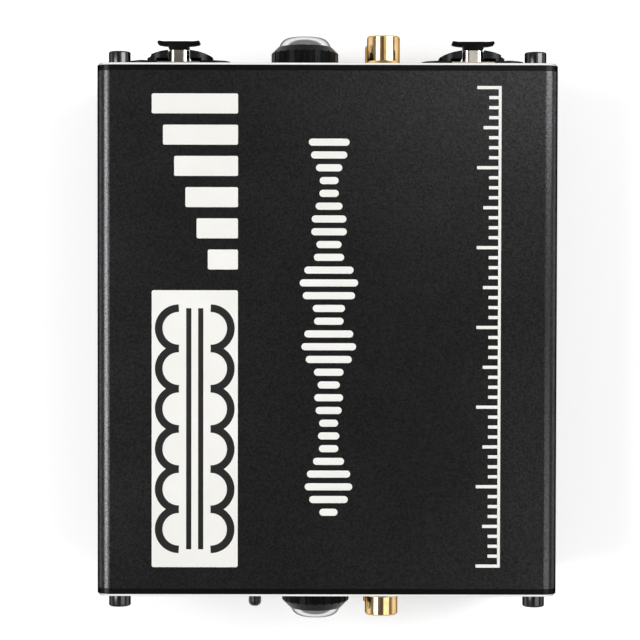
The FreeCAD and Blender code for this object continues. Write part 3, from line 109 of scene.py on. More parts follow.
def add_node(tree: Tree, kind: str, sockets: dict[str | int, object], **settings: object) -> bpy.types.Node:
    """Add one node with its settings and fill its sockets.

    Args:
        tree: the node tree it goes into.
        kind: the node's type name.
        sockets: name or number of an input, with an output socket to link or a value to set.
        settings: properties of the node.

    Returns:
        The new node.
    """
    node = tree.nodes.new(kind)
    for name, value in settings.items():
        setattr(node, name, value)
    for key, value in sockets.items():
        if isinstance(value, Socket):
            tree.links.new(value, node.inputs[key])
        else:
            node.inputs[key].default_value = value
    return node


@dataclass(frozen=True)
class Finish:
    """A finish: two tones that its pattern mixes, how rough it is, and its fine relief.

    The grain is the width of the relief's blotches and the depth its height. An edge catches light
    as if it had the edge radius. The swing is how much smoother and rougher the finish is in places.
    """

    name: str
    colour: str
    roughness: float
    second_colour: str
    grain_mm: float = 0.12
    depth_mm: float = 0.004
    edge_mm: float = 0.15
    swing: tuple[float, float] = (0.05, 0.07)

    def material(self) -> bpy.types.Material:
        """Make the material, once.

        Returns:
            The material of this finish.
        """
        found = bpy.data.materials.get(self.name)
        if found is not None:
            return found
        material = bpy.data.materials.new(self.name)
        material.use_nodes = True
        tree = material.node_tree
        tree.nodes.clear()
        shader = add_node(tree, "ShaderNodeBsdfPrincipled", self.shade(tree)).outputs[0]
        add_node(tree, "ShaderNodeOutputMaterial", {"Surface": shader})
        material.diffuse_color = linear(self.colour)
        return material

    def shade(self, tree: Tree) -> dict[str, object]:
        """Build the pattern and return what goes into the shader; each kind of finish has its own."""
        raise NotImplementedError

    def place(self, tree: Tree) -> Socket:
        """Object coordinates, which are metres in the frame."""
        return add_node(tree, "ShaderNodeTexCoord", {}).outputs["Object"]

    def noise(self, tree: Tree, width_mm: float, detail: float = 2.0) -> Socket:
        """Noise whose blotches are about a width wide.

        Args:
            tree: the node tree.
            width_mm: real width of a blotch.
            detail: how much finer structure rides on it.

        Returns:
            The noise value, around one half.
        """
        sockets = {"Vector": self.place(tree), "Scale": 1 / (width_mm * MM), "Detail": detail}
        return add_node(tree, "ShaderNodeTexNoise", sockets).outputs[0]

    def spread(self, tree: Tree, value: Socket, low: float = 0.0, high: float = 1.0) -> Socket:
        """Stretch the middle of a noise value between two bounds.

        Args:
            tree: the node tree.
            value: a noise value around one half.
            low: result where the noise is low.
            high: result where the noise is high.

        Returns:
            The stretched value.
        """
        return add_node(tree, "ShaderNodeMapRange", {
            "Value": value, "From Min": NOISE_LOW, "From Max": NOISE_HIGH, "To Min": low, "To Max": high,
        }).outputs[0]

    def gloss(self, tree: Tree, value: Socket) -> Socket:
        """Roughness that swings with a noise value."""
        low = max(self.roughness - self.swing[0], MIRROR_ROUGHNESS)
        return self.spread(tree, value, low, self.roughness + self.swing[1])

    def blend(self, tree: Tree, factor: Socket) -> Socket:
        """Mix the finish's two colours by a share of the second."""
        sockets = {0: factor, 6: linear(self.colour), 7: linear(self.second_colour)}
        return add_node(tree, "ShaderNodeMix", sockets, data_type="RGBA").outputs[2]

    def relief(self, tree: Tree, height: Socket) -> Socket:
        """Normal of a surface with the finish's relief and softened edges.

        Args:
            tree: the node tree.
            height: relief between zero and one.

        Returns:
            The normal.
        """
        soft = add_node(tree, "ShaderNodeBevel", {"Radius": self.edge_mm * MM}, samples=4).outputs[0]
        sockets = {"Height": height, "Distance": self.depth_mm * MM, "Normal": soft}
        return add_node(tree, "ShaderNodeBump", sockets).outputs[0]


@dataclass(frozen=True)
class Coat(Finish):
    """Black coat on metal: fine grains break its sheen up, and slanting light sinks into it.

    Its colours are what it throws back straight on. Its edge colour tints what it throws back at a
    slant. Handling leaves slow clouds of gloss.
    """

    edge_mm: float = 0.12
    swing: tuple[float, float] = (0.015, 0.015)
    edge_colour: str = "#606060"
    cloud_mm: float = 25.0

    def shade(self, tree: Tree) -> dict[str, object]:
        """Tone and relief follow the grain, and gloss follows the clouds.

        Args:
            tree: the node tree.

        Returns:
            The shader's inputs.
        """
        fine = self.noise(tree, self.grain_mm)
        return {
            "Base Color": self.blend(tree, self.spread(tree, fine)),
            "Metallic": 1.0,
            "Roughness": self.gloss(tree, self.noise(tree, self.cloud_mm)),
            "Specular Tint": linear(self.edge_colour),
            "Normal": self.relief(tree, fine),
        }


@dataclass(frozen=True)
class PlateCoat(Coat):
    """Coat of an end plate whose front edge was cut bright after coating."""

    swing: tuple[float, float] = (0.04, 0.05)
    bare_colour: str = "#e9e9ea"
    bare_smoothest: float = 0.17
    bare_roughest: float = 0.3
    brush_mm: float = 0.2
    cut_mm: float = 0.6
    step_mm: float = 0.04

    def shade(self, tree: Tree) -> dict[str, object]:
        """Bare metal where the surface lies between the plate's face and the foot of its bevel.

        Args:
            tree: the node tree.

        Returns:
            The shader's inputs.
        """
        face = PlateFrame(End.INPUT).face()
        along = add_node(tree, "ShaderNodeSeparateXYZ", {0: self.place(tree)}).outputs[1]
        out = add_node(tree, "ShaderNodeMath", {0: along}, operation="ABSOLUTE").outputs[0]
        foot = face - self.cut_mm * MM
        step = self.step_mm * MM
        rise = add_node(tree, "ShaderNodeMapRange", {
            "Value": out, "From Min": foot, "From Max": foot + step, "To Min": 0.0, "To Max": 1.0,
        }).outputs[0]
        fall = add_node(tree, "ShaderNodeMapRange", {
            "Value": out, "From Min": face - step, "From Max": face - step / 4, "To Min": 1.0, "To Max": 0.0,
        }).outputs[0]
        bare = add_node(tree, "ShaderNodeMath", {0: rise, 1: fall}, operation="MULTIPLY").outputs[0]
        fine = self.noise(tree, self.grain_mm)
        coat = self.blend(tree, self.spread(tree, fine))
        lines = self.noise(tree, self.brush_mm, detail=1.0)
        brushed = self.spread(tree, lines, self.bare_smoothest, self.bare_roughest)
        colours = {0: bare, 6: coat, 7: linear(self.bare_colour)}
        glosses = {0: bare, 2: self.gloss(tree, fine), 3: brushed}
        return {
            "Base Color": add_node(tree, "ShaderNodeMix", colours, data_type="RGBA").outputs[2],
            "Metallic": 1.0,
            "Roughness": add_node(tree, "ShaderNodeMix", glosses).outputs[0],
            "Specular Tint": linear(self.edge_colour),
            "Normal": self.relief(tree, fine),
        }


@dataclass(frozen=True)
class Moulding(Finish):
    """Injection moulding: even colour, a faint spark-eroded grain and soft flow clouds."""

    flow_mm: float = 3.0
    specular: float = 0.5

    def shade(self, tree: Tree) -> dict[str, object]:
        """Flow clouds shift tone and gloss a little; the grain gives the relief.

        Args:
            tree: the node tree.

        Returns:
            The shader's inputs.
        """
        flow = self.noise(tree, self.flow_mm, detail=3.0)
        return {
            "Base Color": self.blend(tree, self.spread(tree, flow)),
            "Roughness": self.gloss(tree, flow),
            "Specular IOR Level": self.specular,
            "Normal": self.relief(tree, self.noise(tree, self.grain_mm)),
        }


@dataclass(frozen=True)
class Plating(Finish):
    """Plated or blackened metal: bright, with faint polishing waves and a slight tarnish."""

    grain_mm: float = 0.6
    depth_mm: float = 0.0008
    edge_mm: float = 0.1
    swing: tuple[float, float] = (0.03, 0.05)
    edge_colour: str = "#ffffff"
    cloud_mm: float = 2.4

    def shade(self, tree: Tree) -> dict[str, object]:
        """Tarnish follows slow clouds, and the polish leaves waves too shallow to touch.

        Args:
            tree: the node tree.

        Returns:
            The shader's inputs.
        """
        cloud = self.noise(tree, self.cloud_mm, detail=4.0)
        return {
            "Base Color": self.blend(tree, self.spread(tree, cloud)),
            "Metallic": 1.0,
            "Roughness": self.gloss(tree, cloud),
            "Specular Tint": linear(self.edge_colour),
            "Normal": self.relief(tree, self.noise(tree, self.grain_mm)),
        }


@dataclass(frozen=True)
class Lamination(Finish):
    """Stack of punched silicon steel sheets: dark varnished seams between bright cut edges."""

    grain_mm: float = 1.5
    depth_mm: float = 0.03
    edge_mm: float = 0.1
    swing: tuple[float, float] = (0.08, 0.1)
    sheet_mm: float = 0.5
    seam_start: float = 0.55
    seam_full: float = 0.95
    metallic: float = 0.8

    def shade(self, tree: Tree) -> dict[str, object]:
        """Bands along Y, one for each sheet, dark where the cosine of the band's phase is high.

        Args:
            tree: the node tree.

        Returns:
            The shader's inputs.
        """
        turns = 2 * math.pi / (self.sheet_mm * MM)
        along = add_node(tree, "ShaderNodeSeparateXYZ", {0: self.place(tree)}).outputs[1]
        phase = add_node(tree, "ShaderNodeMath", {0: along, 1: turns}, operation="MULTIPLY").outputs[0]
        wave = add_node(tree, "ShaderNodeMath", {0: phase}, operation="COSINE").outputs[0]
        seam = add_node(tree, "ShaderNodeMapRange", {
            "Value": wave, "From Min": self.seam_start, "From Max": self.seam_full,
            "To Min": 0.0, "To Max": 1.0,
        }).outputs[0]
        return {
            "Base Color": self.blend(tree, seam),
            "Metallic": self.metallic,
            "Roughness": self.gloss(tree, self.noise(tree, self.grain_mm, detail=3.0)),
            "Normal": self.relief(tree, wave),
        }


@dataclass(frozen=True)
class BoardLaminate(Finish):
    """Glass epoxy board under green resist: copper tracks show as lighter lines, the weave as relief."""

    grain_mm: float = 0.4
    depth_mm: float = 0.01
    edge_mm: float = 0.08
    swing: tuple[float, float] = (0.05, 0.05)
    cell_mm: float = 5.08
    cell_scatter: float = 0.6
    track_start: float = 0.42
    track_full: float = 0.47
    resist_gloss: float = 0.4

    def shade(self, tree: Tree) -> dict[str, object]:
        """Tracks are the rims of cells two pin pitches wide; the weave is finer than the render shows.

        Args:
            tree: the node tree.

        Returns:
            The shader's inputs.
        """
        cells = add_node(tree, "ShaderNodeTexVoronoi", {
            "Vector": self.place(tree), "Scale": 1 / (self.cell_mm * MM), "Randomness": self.cell_scatter,
        }, distance="MANHATTAN", feature="F1")
        track = add_node(tree, "ShaderNodeMapRange", {
            "Value": cells.outputs["Distance"], "From Min": self.track_start, "From Max": self.track_full,
            "To Min": 0.0, "To Max": 1.0,
        }).outputs[0]
        weave = self.noise(tree, self.grain_mm)
        return {
            "Base Color": self.blend(tree, track),
            "Roughness": self.gloss(tree, weave),
            "Coat Weight": self.resist_gloss,
            "Normal": self.relief(tree, weave),
        }


@dataclass(frozen=True)
class Ink(Finish):
    """Screen-printed ink: flat and even, with a fine orange peel from the mesh."""

    grain_mm: float = 0.25
    edge_mm: float = 0.02
    swing: tuple[float, float] = (0.05, 0.05)
    cloud_mm: float = 12.0
    specular: float = 0.35

    def shade(self, tree: Tree) -> dict[str, object]:
        """Slow clouds where the squeegee left more or less ink, and a fine peel.

        Args:
            tree: the node tree.

        Returns:
            The shader's inputs.
        """
        peel = self.noise(tree, self.grain_mm)
        return {
            "Base Color": self.blend(tree, self.spread(tree, self.noise(tree, self.cloud_mm))),
            "Roughness": self.gloss(tree, peel),
            "Specular IOR Level": self.specular,
            "Normal": self.relief(tree, peel),
        }


# The finish of each material slot of the record, named for what the real one is.
FINISHES = {
    # Coarse matte grain, grey where the lamps catch it.
    "sleeve_paint": Coat("matte_black_coat_on_extruded_aluminium", "#3a3a3b", 0.25, "#545455",
                         grain_mm=0.5, depth_mm=0.012),
    # Smoother and darker than the sleeve, with a thin bright cut line.
    "plate_paint": PlateCoat("smooth_black_coat_on_milled_aluminium", "#1d1d1e", 0.3, "#2a2a2b",
                             grain_mm=0.2, depth_mm=0.003),
    # Dull, without a highlight.
    "foot_rubber": Moulding("black_silicone_rubber", "#0c0c0c", 0.72, "#161616", grain_mm=0.2, depth_mm=0.02),
    # Dark satin metal.
    "black_steel": Plating("black_oxide_on_machined_steel", "#333334", 0.2, "#404041", edge_colour="#202020"),
    # Fine cast skin under a satin coat.
    "xlr_casting": Coat("black_coat_on_die_cast_zinc", "#232324", 0.36, "#353536",
                        grain_mm=0.28, depth_mm=0.012),
    # Satin moulding, slightly cloudy from its glass fibre.
    "black_insulator": Moulding("black_glass_filled_polyamide", "#0b0b0b", 0.5, "#131313"),
    # Bright, a little warm, soft in its reflections.
    "nickel": Plating("bright_nickel_on_stamped_steel", "#dfd8cd", 0.18, "#cfc4b4"),
    # Deep black, hardly any sheen.
    "thumb_plastic": Moulding("black_polyamide_thumb_bar", "#020202", 0.42, "#060606", specular=0.12),
    # Pale grey metal.
    "contact_metal": Plating("tin_plated_bronze", "#cfcdc6", 0.2, "#b4b0a6"),
    # Fine stripes of cut sheet edges.
    "lamination": Lamination("stacked_silicon_steel", "#7c7d80", 0.42, "#242527"),
    # Smooth yellow film.
    "coil_tape": Moulding("yellow_polyester_tape", "#d8a62e", 0.25, "#c3901f", grain_mm=0.4, depth_mm=0.01),
    # Plain grey spring metal.
    "spring_steel": Plating("plain_spring_steel", "#a9aaad", 0.24, "#8a8b8e"),
    # Satin black moulding.
    "moulded_black": Moulding("black_pbt_moulding", "#0a0a0a", 0.42, "#121212"),
    # Bright turned metal, slightly warm.
    "thread_brass": Plating("nickel_plated_turned_brass", "#d6d2c8", 0.16, "#bdb6a6"),
    # Deep black with a faint gloss.
    "nut_plastic": Moulding("black_acetal_nut", "#020202", 0.34, "#060606", specular=0.09),
    # Mirror bright, darker towards its edges.
    "chrome": Plating("bright_chrome_on_pressed_brass", "#e2e1e1", 0.06, "#d6d2d2", edge_colour="#404040"),
    # Pale gold with sharp bright and brown bands.
    "gilt": Plating("bright_gold_flash_on_turned_brass", "#e8c998", 0.1, "#d3ab72", edge_colour="#4a3010"),
    # Milky white and red mouldings, waxy in their sheen.
    "white_insulator": Moulding("white_polypropylene", "#e8e6df", 0.38, "#dedbd2"),
    "red_insulator": Moulding("red_polypropylene", "#b3201c", 0.38, "#9c1814"),
    # Glossy green with lighter tracks.
    "circuit_board": BoardLaminate("glass_epoxy_under_green_resist", "#0f4a26", 0.32, "#1d6b3a"),
    # Glossy black moulding.
    "button_plastic": Moulding("black_abs_push_button", "#080808", 0.3, "#111111"),
    # Soft dark red sheath.
    "wire_insulation": Moulding("soft_vinyl_wire_insulation", "#8c1c1c", 0.4, "#781414"),
}

# Flat white and black ink of the print, and steel heads brighter than the plain slot of the screws.
WHITE_INK = Ink("white_screen_ink", "#f2f1ec", 0.55, "#f7f6f2")
BLACK_INK = Ink("black_screen_ink", "#0d0d0d", 0.5, "#141414")
MACHINED_BLACK = Plating("black_oxide_on_cold_headed_steel", "#464647", 0.15, "#505051",
                         edge_colour="#202020")


class Shell:
    """Collects grids of points and makes one mesh of them."""

    def __init__(self) -> None:
        """Start with no points and no faces."""
        self.points: list[np.ndarray] = []
        self.faces: list[list[int]] = []
        self.count = 0

    def grid(self, points: np.ndarray, around: bool) -> None:
        """Add a grid of points as quads, in rows and columns.

        Args:
            points: array of rows, columns and three coordinates in metres.
            around: whether the last column meets the first.
        """
        rows, columns, _ = points.shape
        index = np.arange(rows * columns).reshape(rows, columns) + self.count
        if around:
            index = np.concatenate([index, index[:, :1]], axis=1)
        quads = np.stack([index[:-1, :-1], index[:-1, 1:], index[1:, 1:], index[1:, :-1]], axis=-1)
        self.faces += quads.reshape(-1, 4).tolist()
        self.points.append(points.reshape(-1, 3))
        self.count += rows * columns

    def prism(self, rings: np.ndarray) -> None:
        """Add a closed solid of stacked rings with a flat face at each end.

        Args:
            rings: array of rings, points around and three coordinates in metres.
        """
        start = self.count
        rows, columns, _ = rings.shape
        self.grid(rings, around=True)
        self.faces.append(list(range(start, start + columns)))
        self.faces.append(list(range(start + (rows - 1) * columns, start + rows * columns)))

    def mesh(self, name: str) -> bpy.types.Mesh:
        """Make a mesh of all grids added so far.

        Args:
            name: the mesh's name.

        Returns:
            The mesh, with its points as they were added.
        """
        mesh = bpy.data.meshes.new(name)
        mesh.from_pydata(np.concatenate(self.points).tolist(), [], self.faces)
        return mesh

    def piece(self, name: str, finish: Finish, body: str, smooth_deg: float = 32.0) -> bpy.types.Object:
        """Make the object, dress it and let it ride on a body.

        Args:
            name: the object's name.
            finish: what it is made of.
            body: the body of the construction that carries it.
            smooth_deg: faces that meet at a smaller angle are shaded as one surface.

        Returns:
            The new object, at the origin and unturned.
        """
        mesh = self.mesh(name)
        work = bmesh.new()
        work.from_mesh(mesh)
        bmesh.ops.remove_doubles(work, verts=work.verts, dist=1e-7)
        bmesh.ops.recalc_face_normals(work, faces=work.faces)
        work.to_mesh(mesh)
        work.free()
        mesh.shade_smooth()
        mesh.set_sharp_from_angle(angle=math.radians(smooth_deg))
        mesh.materials.append(finish.material())
        thing = bpy.data.objects.new(name, mesh)
        bpy.context.scene.collection.objects.link(thing)
        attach(thing, body)
        LOG.info("piece %s: %d faces, rides on %s", name, len(mesh.polygons), body)
        return thing


@dataclass(frozen=True)
class PlateFrame:
    """Frame of an end plate: across to the right of someone who looks at it, up, and out of it."""

    end: End

    def face(self) -> float:
        """Distance of the plate's outer face from the middle of the case."""
        low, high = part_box(self.end.label + "_end_plate")
        return max(abs(low.y), abs(high.y))

    def put(self, points: np.ndarray, across: float, up: float) -> np.ndarray:
        """Move points from the plate's frame to the case's.

        Args:
            points: array whose last axis is across, up and out of the plate's face, in metres.
            across: place of their zero along X of the case.
            up: place of their zero along Z of the case.

        Returns:
            The points in the frame of the construction.
        """
        sign = self.end.value
        x = across - sign * points[..., 0]
        y = sign * (self.face() + points[..., 2])
        z = up + points[..., 1]
        return np.stack([x, y, z], axis=-1)


@dataclass
class Turned:
    """A turned shape: a profile of radius and height carried round an axis."""

    steps_around: int

    def rings(self, profile_mm: list[tuple[float, float]]) -> np.ndarray:
        """Point at angle a is radius times cosine and sine of a, at the profile's height.

        Args:
            profile_mm: radius and height of each ring.

        Returns:
            Array of rings, points around and three coordinates, in metres.
        """
        profile = np.array(profile_mm) * MM
        angle = np.linspace(0, 2 * np.pi, self.steps_around, endpoint=False)
        radius = profile[:, :1]
        across = radius * np.cos(angle)
        up = radius * np.sin(angle)
        height = np.broadcast_to(profile[:, 1:], across.shape)
        return np.stack([across, up, height], axis=-1)


@dataclass
class CapScrews:
    """Hexagon socket cap screws of an end plate, with a rounded rim and a real socket.

    The mouth is the socket's countersunk edge: width as a share of the key's, and depth in
    millimetres, ring by ring.
    """

    end: End
    head_radius_mm: float = 2.75
    head_height_mm: float = 3.2
    rim_round_mm: float = 0.38
    foot_bevel_mm: float = 0.08
    shank_radius_mm: float = 1.45
    shank_length_mm: float = 10.0
    shank_bevel_mm: float = 0.3
    key_mm: float = 2.5
    key_depth_mm: float = 1.5
    drill_point_mm: float = 0.35
    mouth: tuple[tuple[float, float], ...] = ((1.14, 0.0), (1.06, 0.02), (1.0, 0.12))
    steps: int = 96
    rim_steps: int = 7

    def head(self) -> np.ndarray:
        """Rings of one screw: shank, head, rounded rim, and rings that turn hexagonal in the socket.

        In the socket the radius at angle a is half the key width over the cosine of the angle to
        the nearest flat's middle.

        Returns:
            Array of rings in the plate's frame.
        """
        turn = np.linspace(0, math.pi / 2, self.rim_steps)
        rim = [(self.head_radius_mm - self.rim_round_mm * (1 - math.cos(a)),
                self.head_height_mm - self.rim_round_mm * (1 - math.sin(a))) for a in turn]
        profile = [
            (0.0, -self.shank_length_mm),
            (self.shank_radius_mm - self.shank_bevel_mm, -self.shank_length_mm),
            (self.shank_radius_mm, self.shank_bevel_mm - self.shank_length_mm),
            (self.shank_radius_mm, 0.0),
            (self.head_radius_mm - self.foot_bevel_mm, 0.0),
            (self.head_radius_mm, self.foot_bevel_mm),
        ] + rim
        outer = Turned(self.steps).rings(profile)
        angle = np.linspace(0, 2 * np.pi, self.steps, endpoint=False)
        sixth = np.pi / 3
        flat = self.key_mm / 2 * MM / np.cos((angle % sixth) - sixth / 2)
        levels = self.mouth + ((1.0, self.key_depth_mm), (0.0, self.key_depth_mm + self.drill_point_mm))
        inner = [np.stack([flat * share * np.cos(angle), flat * share * np.sin(angle),
                           np.full(self.steps, (self.head_height_mm - depth) * MM)], axis=-1)
                 for share, depth in levels]
        return np.concatenate([outer, np.array(inner)], axis=0)

    def build(self) -> None:
        """Put the four screws of the plate in one piece that stands for the node."""
        node = self.end.label + "_plate_screws"
        low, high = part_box(node)
        place = PlateFrame(self.end)
        reach = self.head_radius_mm * MM
        shell = Shell()
        for across in (low.x + reach, high.x - reach):
            for up in (low.z + reach, high.z - reach):
                shell.grid(place.put(self.head(), across, up), around=True)
        screws = shell.piece(node + "_detailed", MACHINED_BLACK, "case")
        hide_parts(node)


@dataclass
class CrossScrews:
    """Cross-recessed screws of a node: raised or countersunk heads on plain shanks."""

    node: str
    places: list[tuple[End, float, float]]
    seat_mm: float
    radius_mm: float
    rise_mm: float
    rim_mm: float
    length_mm: float
    shank_mm: float
    countersunk: bool = False
    dome_power: float = 2.6
    slot_mm: float = 0.4
    arm_mm: float = 1.5
    wall_mm: float = 0.12
    depth_mm: float = 0.9
    depth_loss: float = 0.45
    shank_bevel_mm: float = 0.3
    smooth_deg: float = 40.0
    steps: int = 57

    def head(self) -> np.ndarray:
        """Top of a head on a square grid that is bent into a disc.

        A grid point (u, v) goes to u times the root of one less half v squared, and the same for v.
        The height is a shallow dome, less the recess where the point is within an arm of the cross.
        The square's lines stand at the sines of even angles, so its edge goes evenly round.

        Returns:
            Square grid of points in the plate's frame.
        """
        side = np.sin(np.linspace(-math.pi / 4, math.pi / 4, self.steps)) * math.sqrt(2)
        u, v = np.meshgrid(side, side)
        across = self.radius_mm * u * np.sqrt(1 - v * v / 2)
        up = self.radius_mm * v * np.sqrt(1 - u * u / 2)
        away = np.hypot(across, up)
        dome = self.rise_mm * (1 - (away / self.radius_mm) ** self.dome_power)
        wide, tall = (np.clip((self.slot_mm - np.abs(one)) / self.wall_mm, 0, 1)
                      * np.clip((self.arm_mm - np.abs(other)) / self.wall_mm, 0, 1)
                      for one, other in ((across, up), (up, across)))
        recess = np.maximum(wide, tall) * self.depth_mm * (1 - self.depth_loss * away / self.arm_mm)
        return np.stack([across, up, self.seat_mm + dome - recess], axis=-1) * MM

    def below(self) -> np.ndarray:
        """Rings from the head's rim down its side or cone to the end of the shank.

        The number of points around equals the points along the head's square edge, so that both
        close on each other.

        Returns:
            Array of rings in the plate's frame.
        """
        under = self.seat_mm - self.rim_mm
        cone = self.radius_mm - self.shank_mm if self.countersunk else 0.0
        profile = [
            (self.radius_mm, self.seat_mm),
            (self.radius_mm, under),
            (self.shank_mm, under - cone),
            (self.shank_mm, self.shank_bevel_mm - self.length_mm),
            (self.shank_mm - self.shank_bevel_mm, -self.length_mm),
            (0.0, -self.length_mm),
        ]
        return Turned(4 * (self.steps - 1)).rings(profile)

    def build(self) -> None:
        """Put all screws in one piece that stands for the node."""
        shell = Shell()
        for end, across, up in self.places:
            place = PlateFrame(end)
            shell.grid(place.put(self.head(), across, up), around=False)
            shell.grid(place.put(self.below(), across, up), around=True)
        screws = shell.piece(self.node + "_detailed", MACHINED_BLACK, "case", self.smooth_deg)
        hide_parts(self.node)


@dataclass
class ThumbBar:
    """Moulded thumb bar of a latch: thin wings with upturned tips on a thicker block, all edges round.

    The block narrows a little towards its rear: its width there and at its shoulder are shares of
    its full width.
    """

    side: Side
    block_mm: float = 2.65
    rear_share: float = 0.86
    shoulder_share: float = 0.97
    shoulder_mm: float = 0.35
    tip_rise_mm: float = 0.3
    wing_mm: float = 1.1
    wing_thinning_mm: float = 0.15
    tip_share: float = 0.7
    round_mm: float = 0.28
    wing_steps: int = 10
    tip_steps: int = 9
    round_steps: int = 5

    def outline(self, half: float, back: float, front: float) -> np.ndarray:
        """Half outline of the bar seen from above, mirrored to a whole one.

        Along a wing the underside and the top follow a square law of the distance from the block,
        so that the tips turn up; each tip is half an ellipse.

        Args:
            half: half the bar's width.
            back: rear of the block from the plate face.
            front: front of the bar from the plate face.

        Returns:
            Closed outline, across and outwards, in metres.
        """
        block = self.block_mm * MM
        rise = self.tip_rise_mm * MM
        tip = self.wing_mm / 2 * MM * self.tip_share
        span = np.linspace(0, 1, self.wing_steps)
        across = block + (half - tip - block) * span
        high = front - rise + rise * span ** 2
        low = high - self.wing_mm * MM
        high = high - self.wing_thinning_mm * MM * span
        end_middle = (low[-1] + high[-1]) / 2
        end_half = (high[-1] - low[-1]) / 2
        turn = np.linspace(-math.pi / 2, math.pi / 2, self.tip_steps)[1:-1]
        right = np.concatenate([
            np.array([[block * self.rear_share, back],
                      [block * self.shoulder_share, back + self.shoulder_mm * MM]]),
            np.stack([across, low], axis=-1),
            np.stack([half - tip + tip * np.cos(turn), end_middle + end_half * np.sin(turn)], axis=-1),
            np.stack([across, high], axis=-1)[::-1],
        ])
        left = right[::-1] * np.array([-1, 1])
        return np.concatenate([right, left])

    def build(self) -> None:
        """Carry the outline from the underside to the top, shrinking it by a quarter circle at each end."""
        node = self.side.label + "_latch_thumb_bar"
        low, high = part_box(node)
        face = PlateFrame(End.INPUT).face()
        middle = (low.x + high.x) / 2
        flat = self.outline((high.x - low.x) / 2, low.y - face, high.y - face)
        forward = np.roll(flat, -1, axis=0) - np.roll(flat, 1, axis=0)
        inward = np.stack([-forward[:, 1], forward[:, 0]], axis=-1)
        inward /= np.linalg.norm(inward, axis=1, keepdims=True)
        turn = np.linspace(0, math.pi / 2, self.round_steps)
        shrink = self.round_mm * MM * (1 - np.sin(turn))
        lift = self.round_mm * MM * (1 - np.cos(turn))
        stack = []
        for inset, up in zip(np.concatenate([shrink, shrink[::-1]]),
                             np.concatenate([low.z + lift, high.z - lift[::-1]])):
            spot = flat + inward * inset
            stack.append(np.stack([middle + spot[:, 0], face + spot[:, 1], np.full(len(spot), up)], axis=-1))
        shell = Shell()
        shell.prism(np.array(stack))
        bar = shell.piece(node + "_rounded", FINISHES["thumb_plastic"], self.side.label + "_latch")
        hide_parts(node)


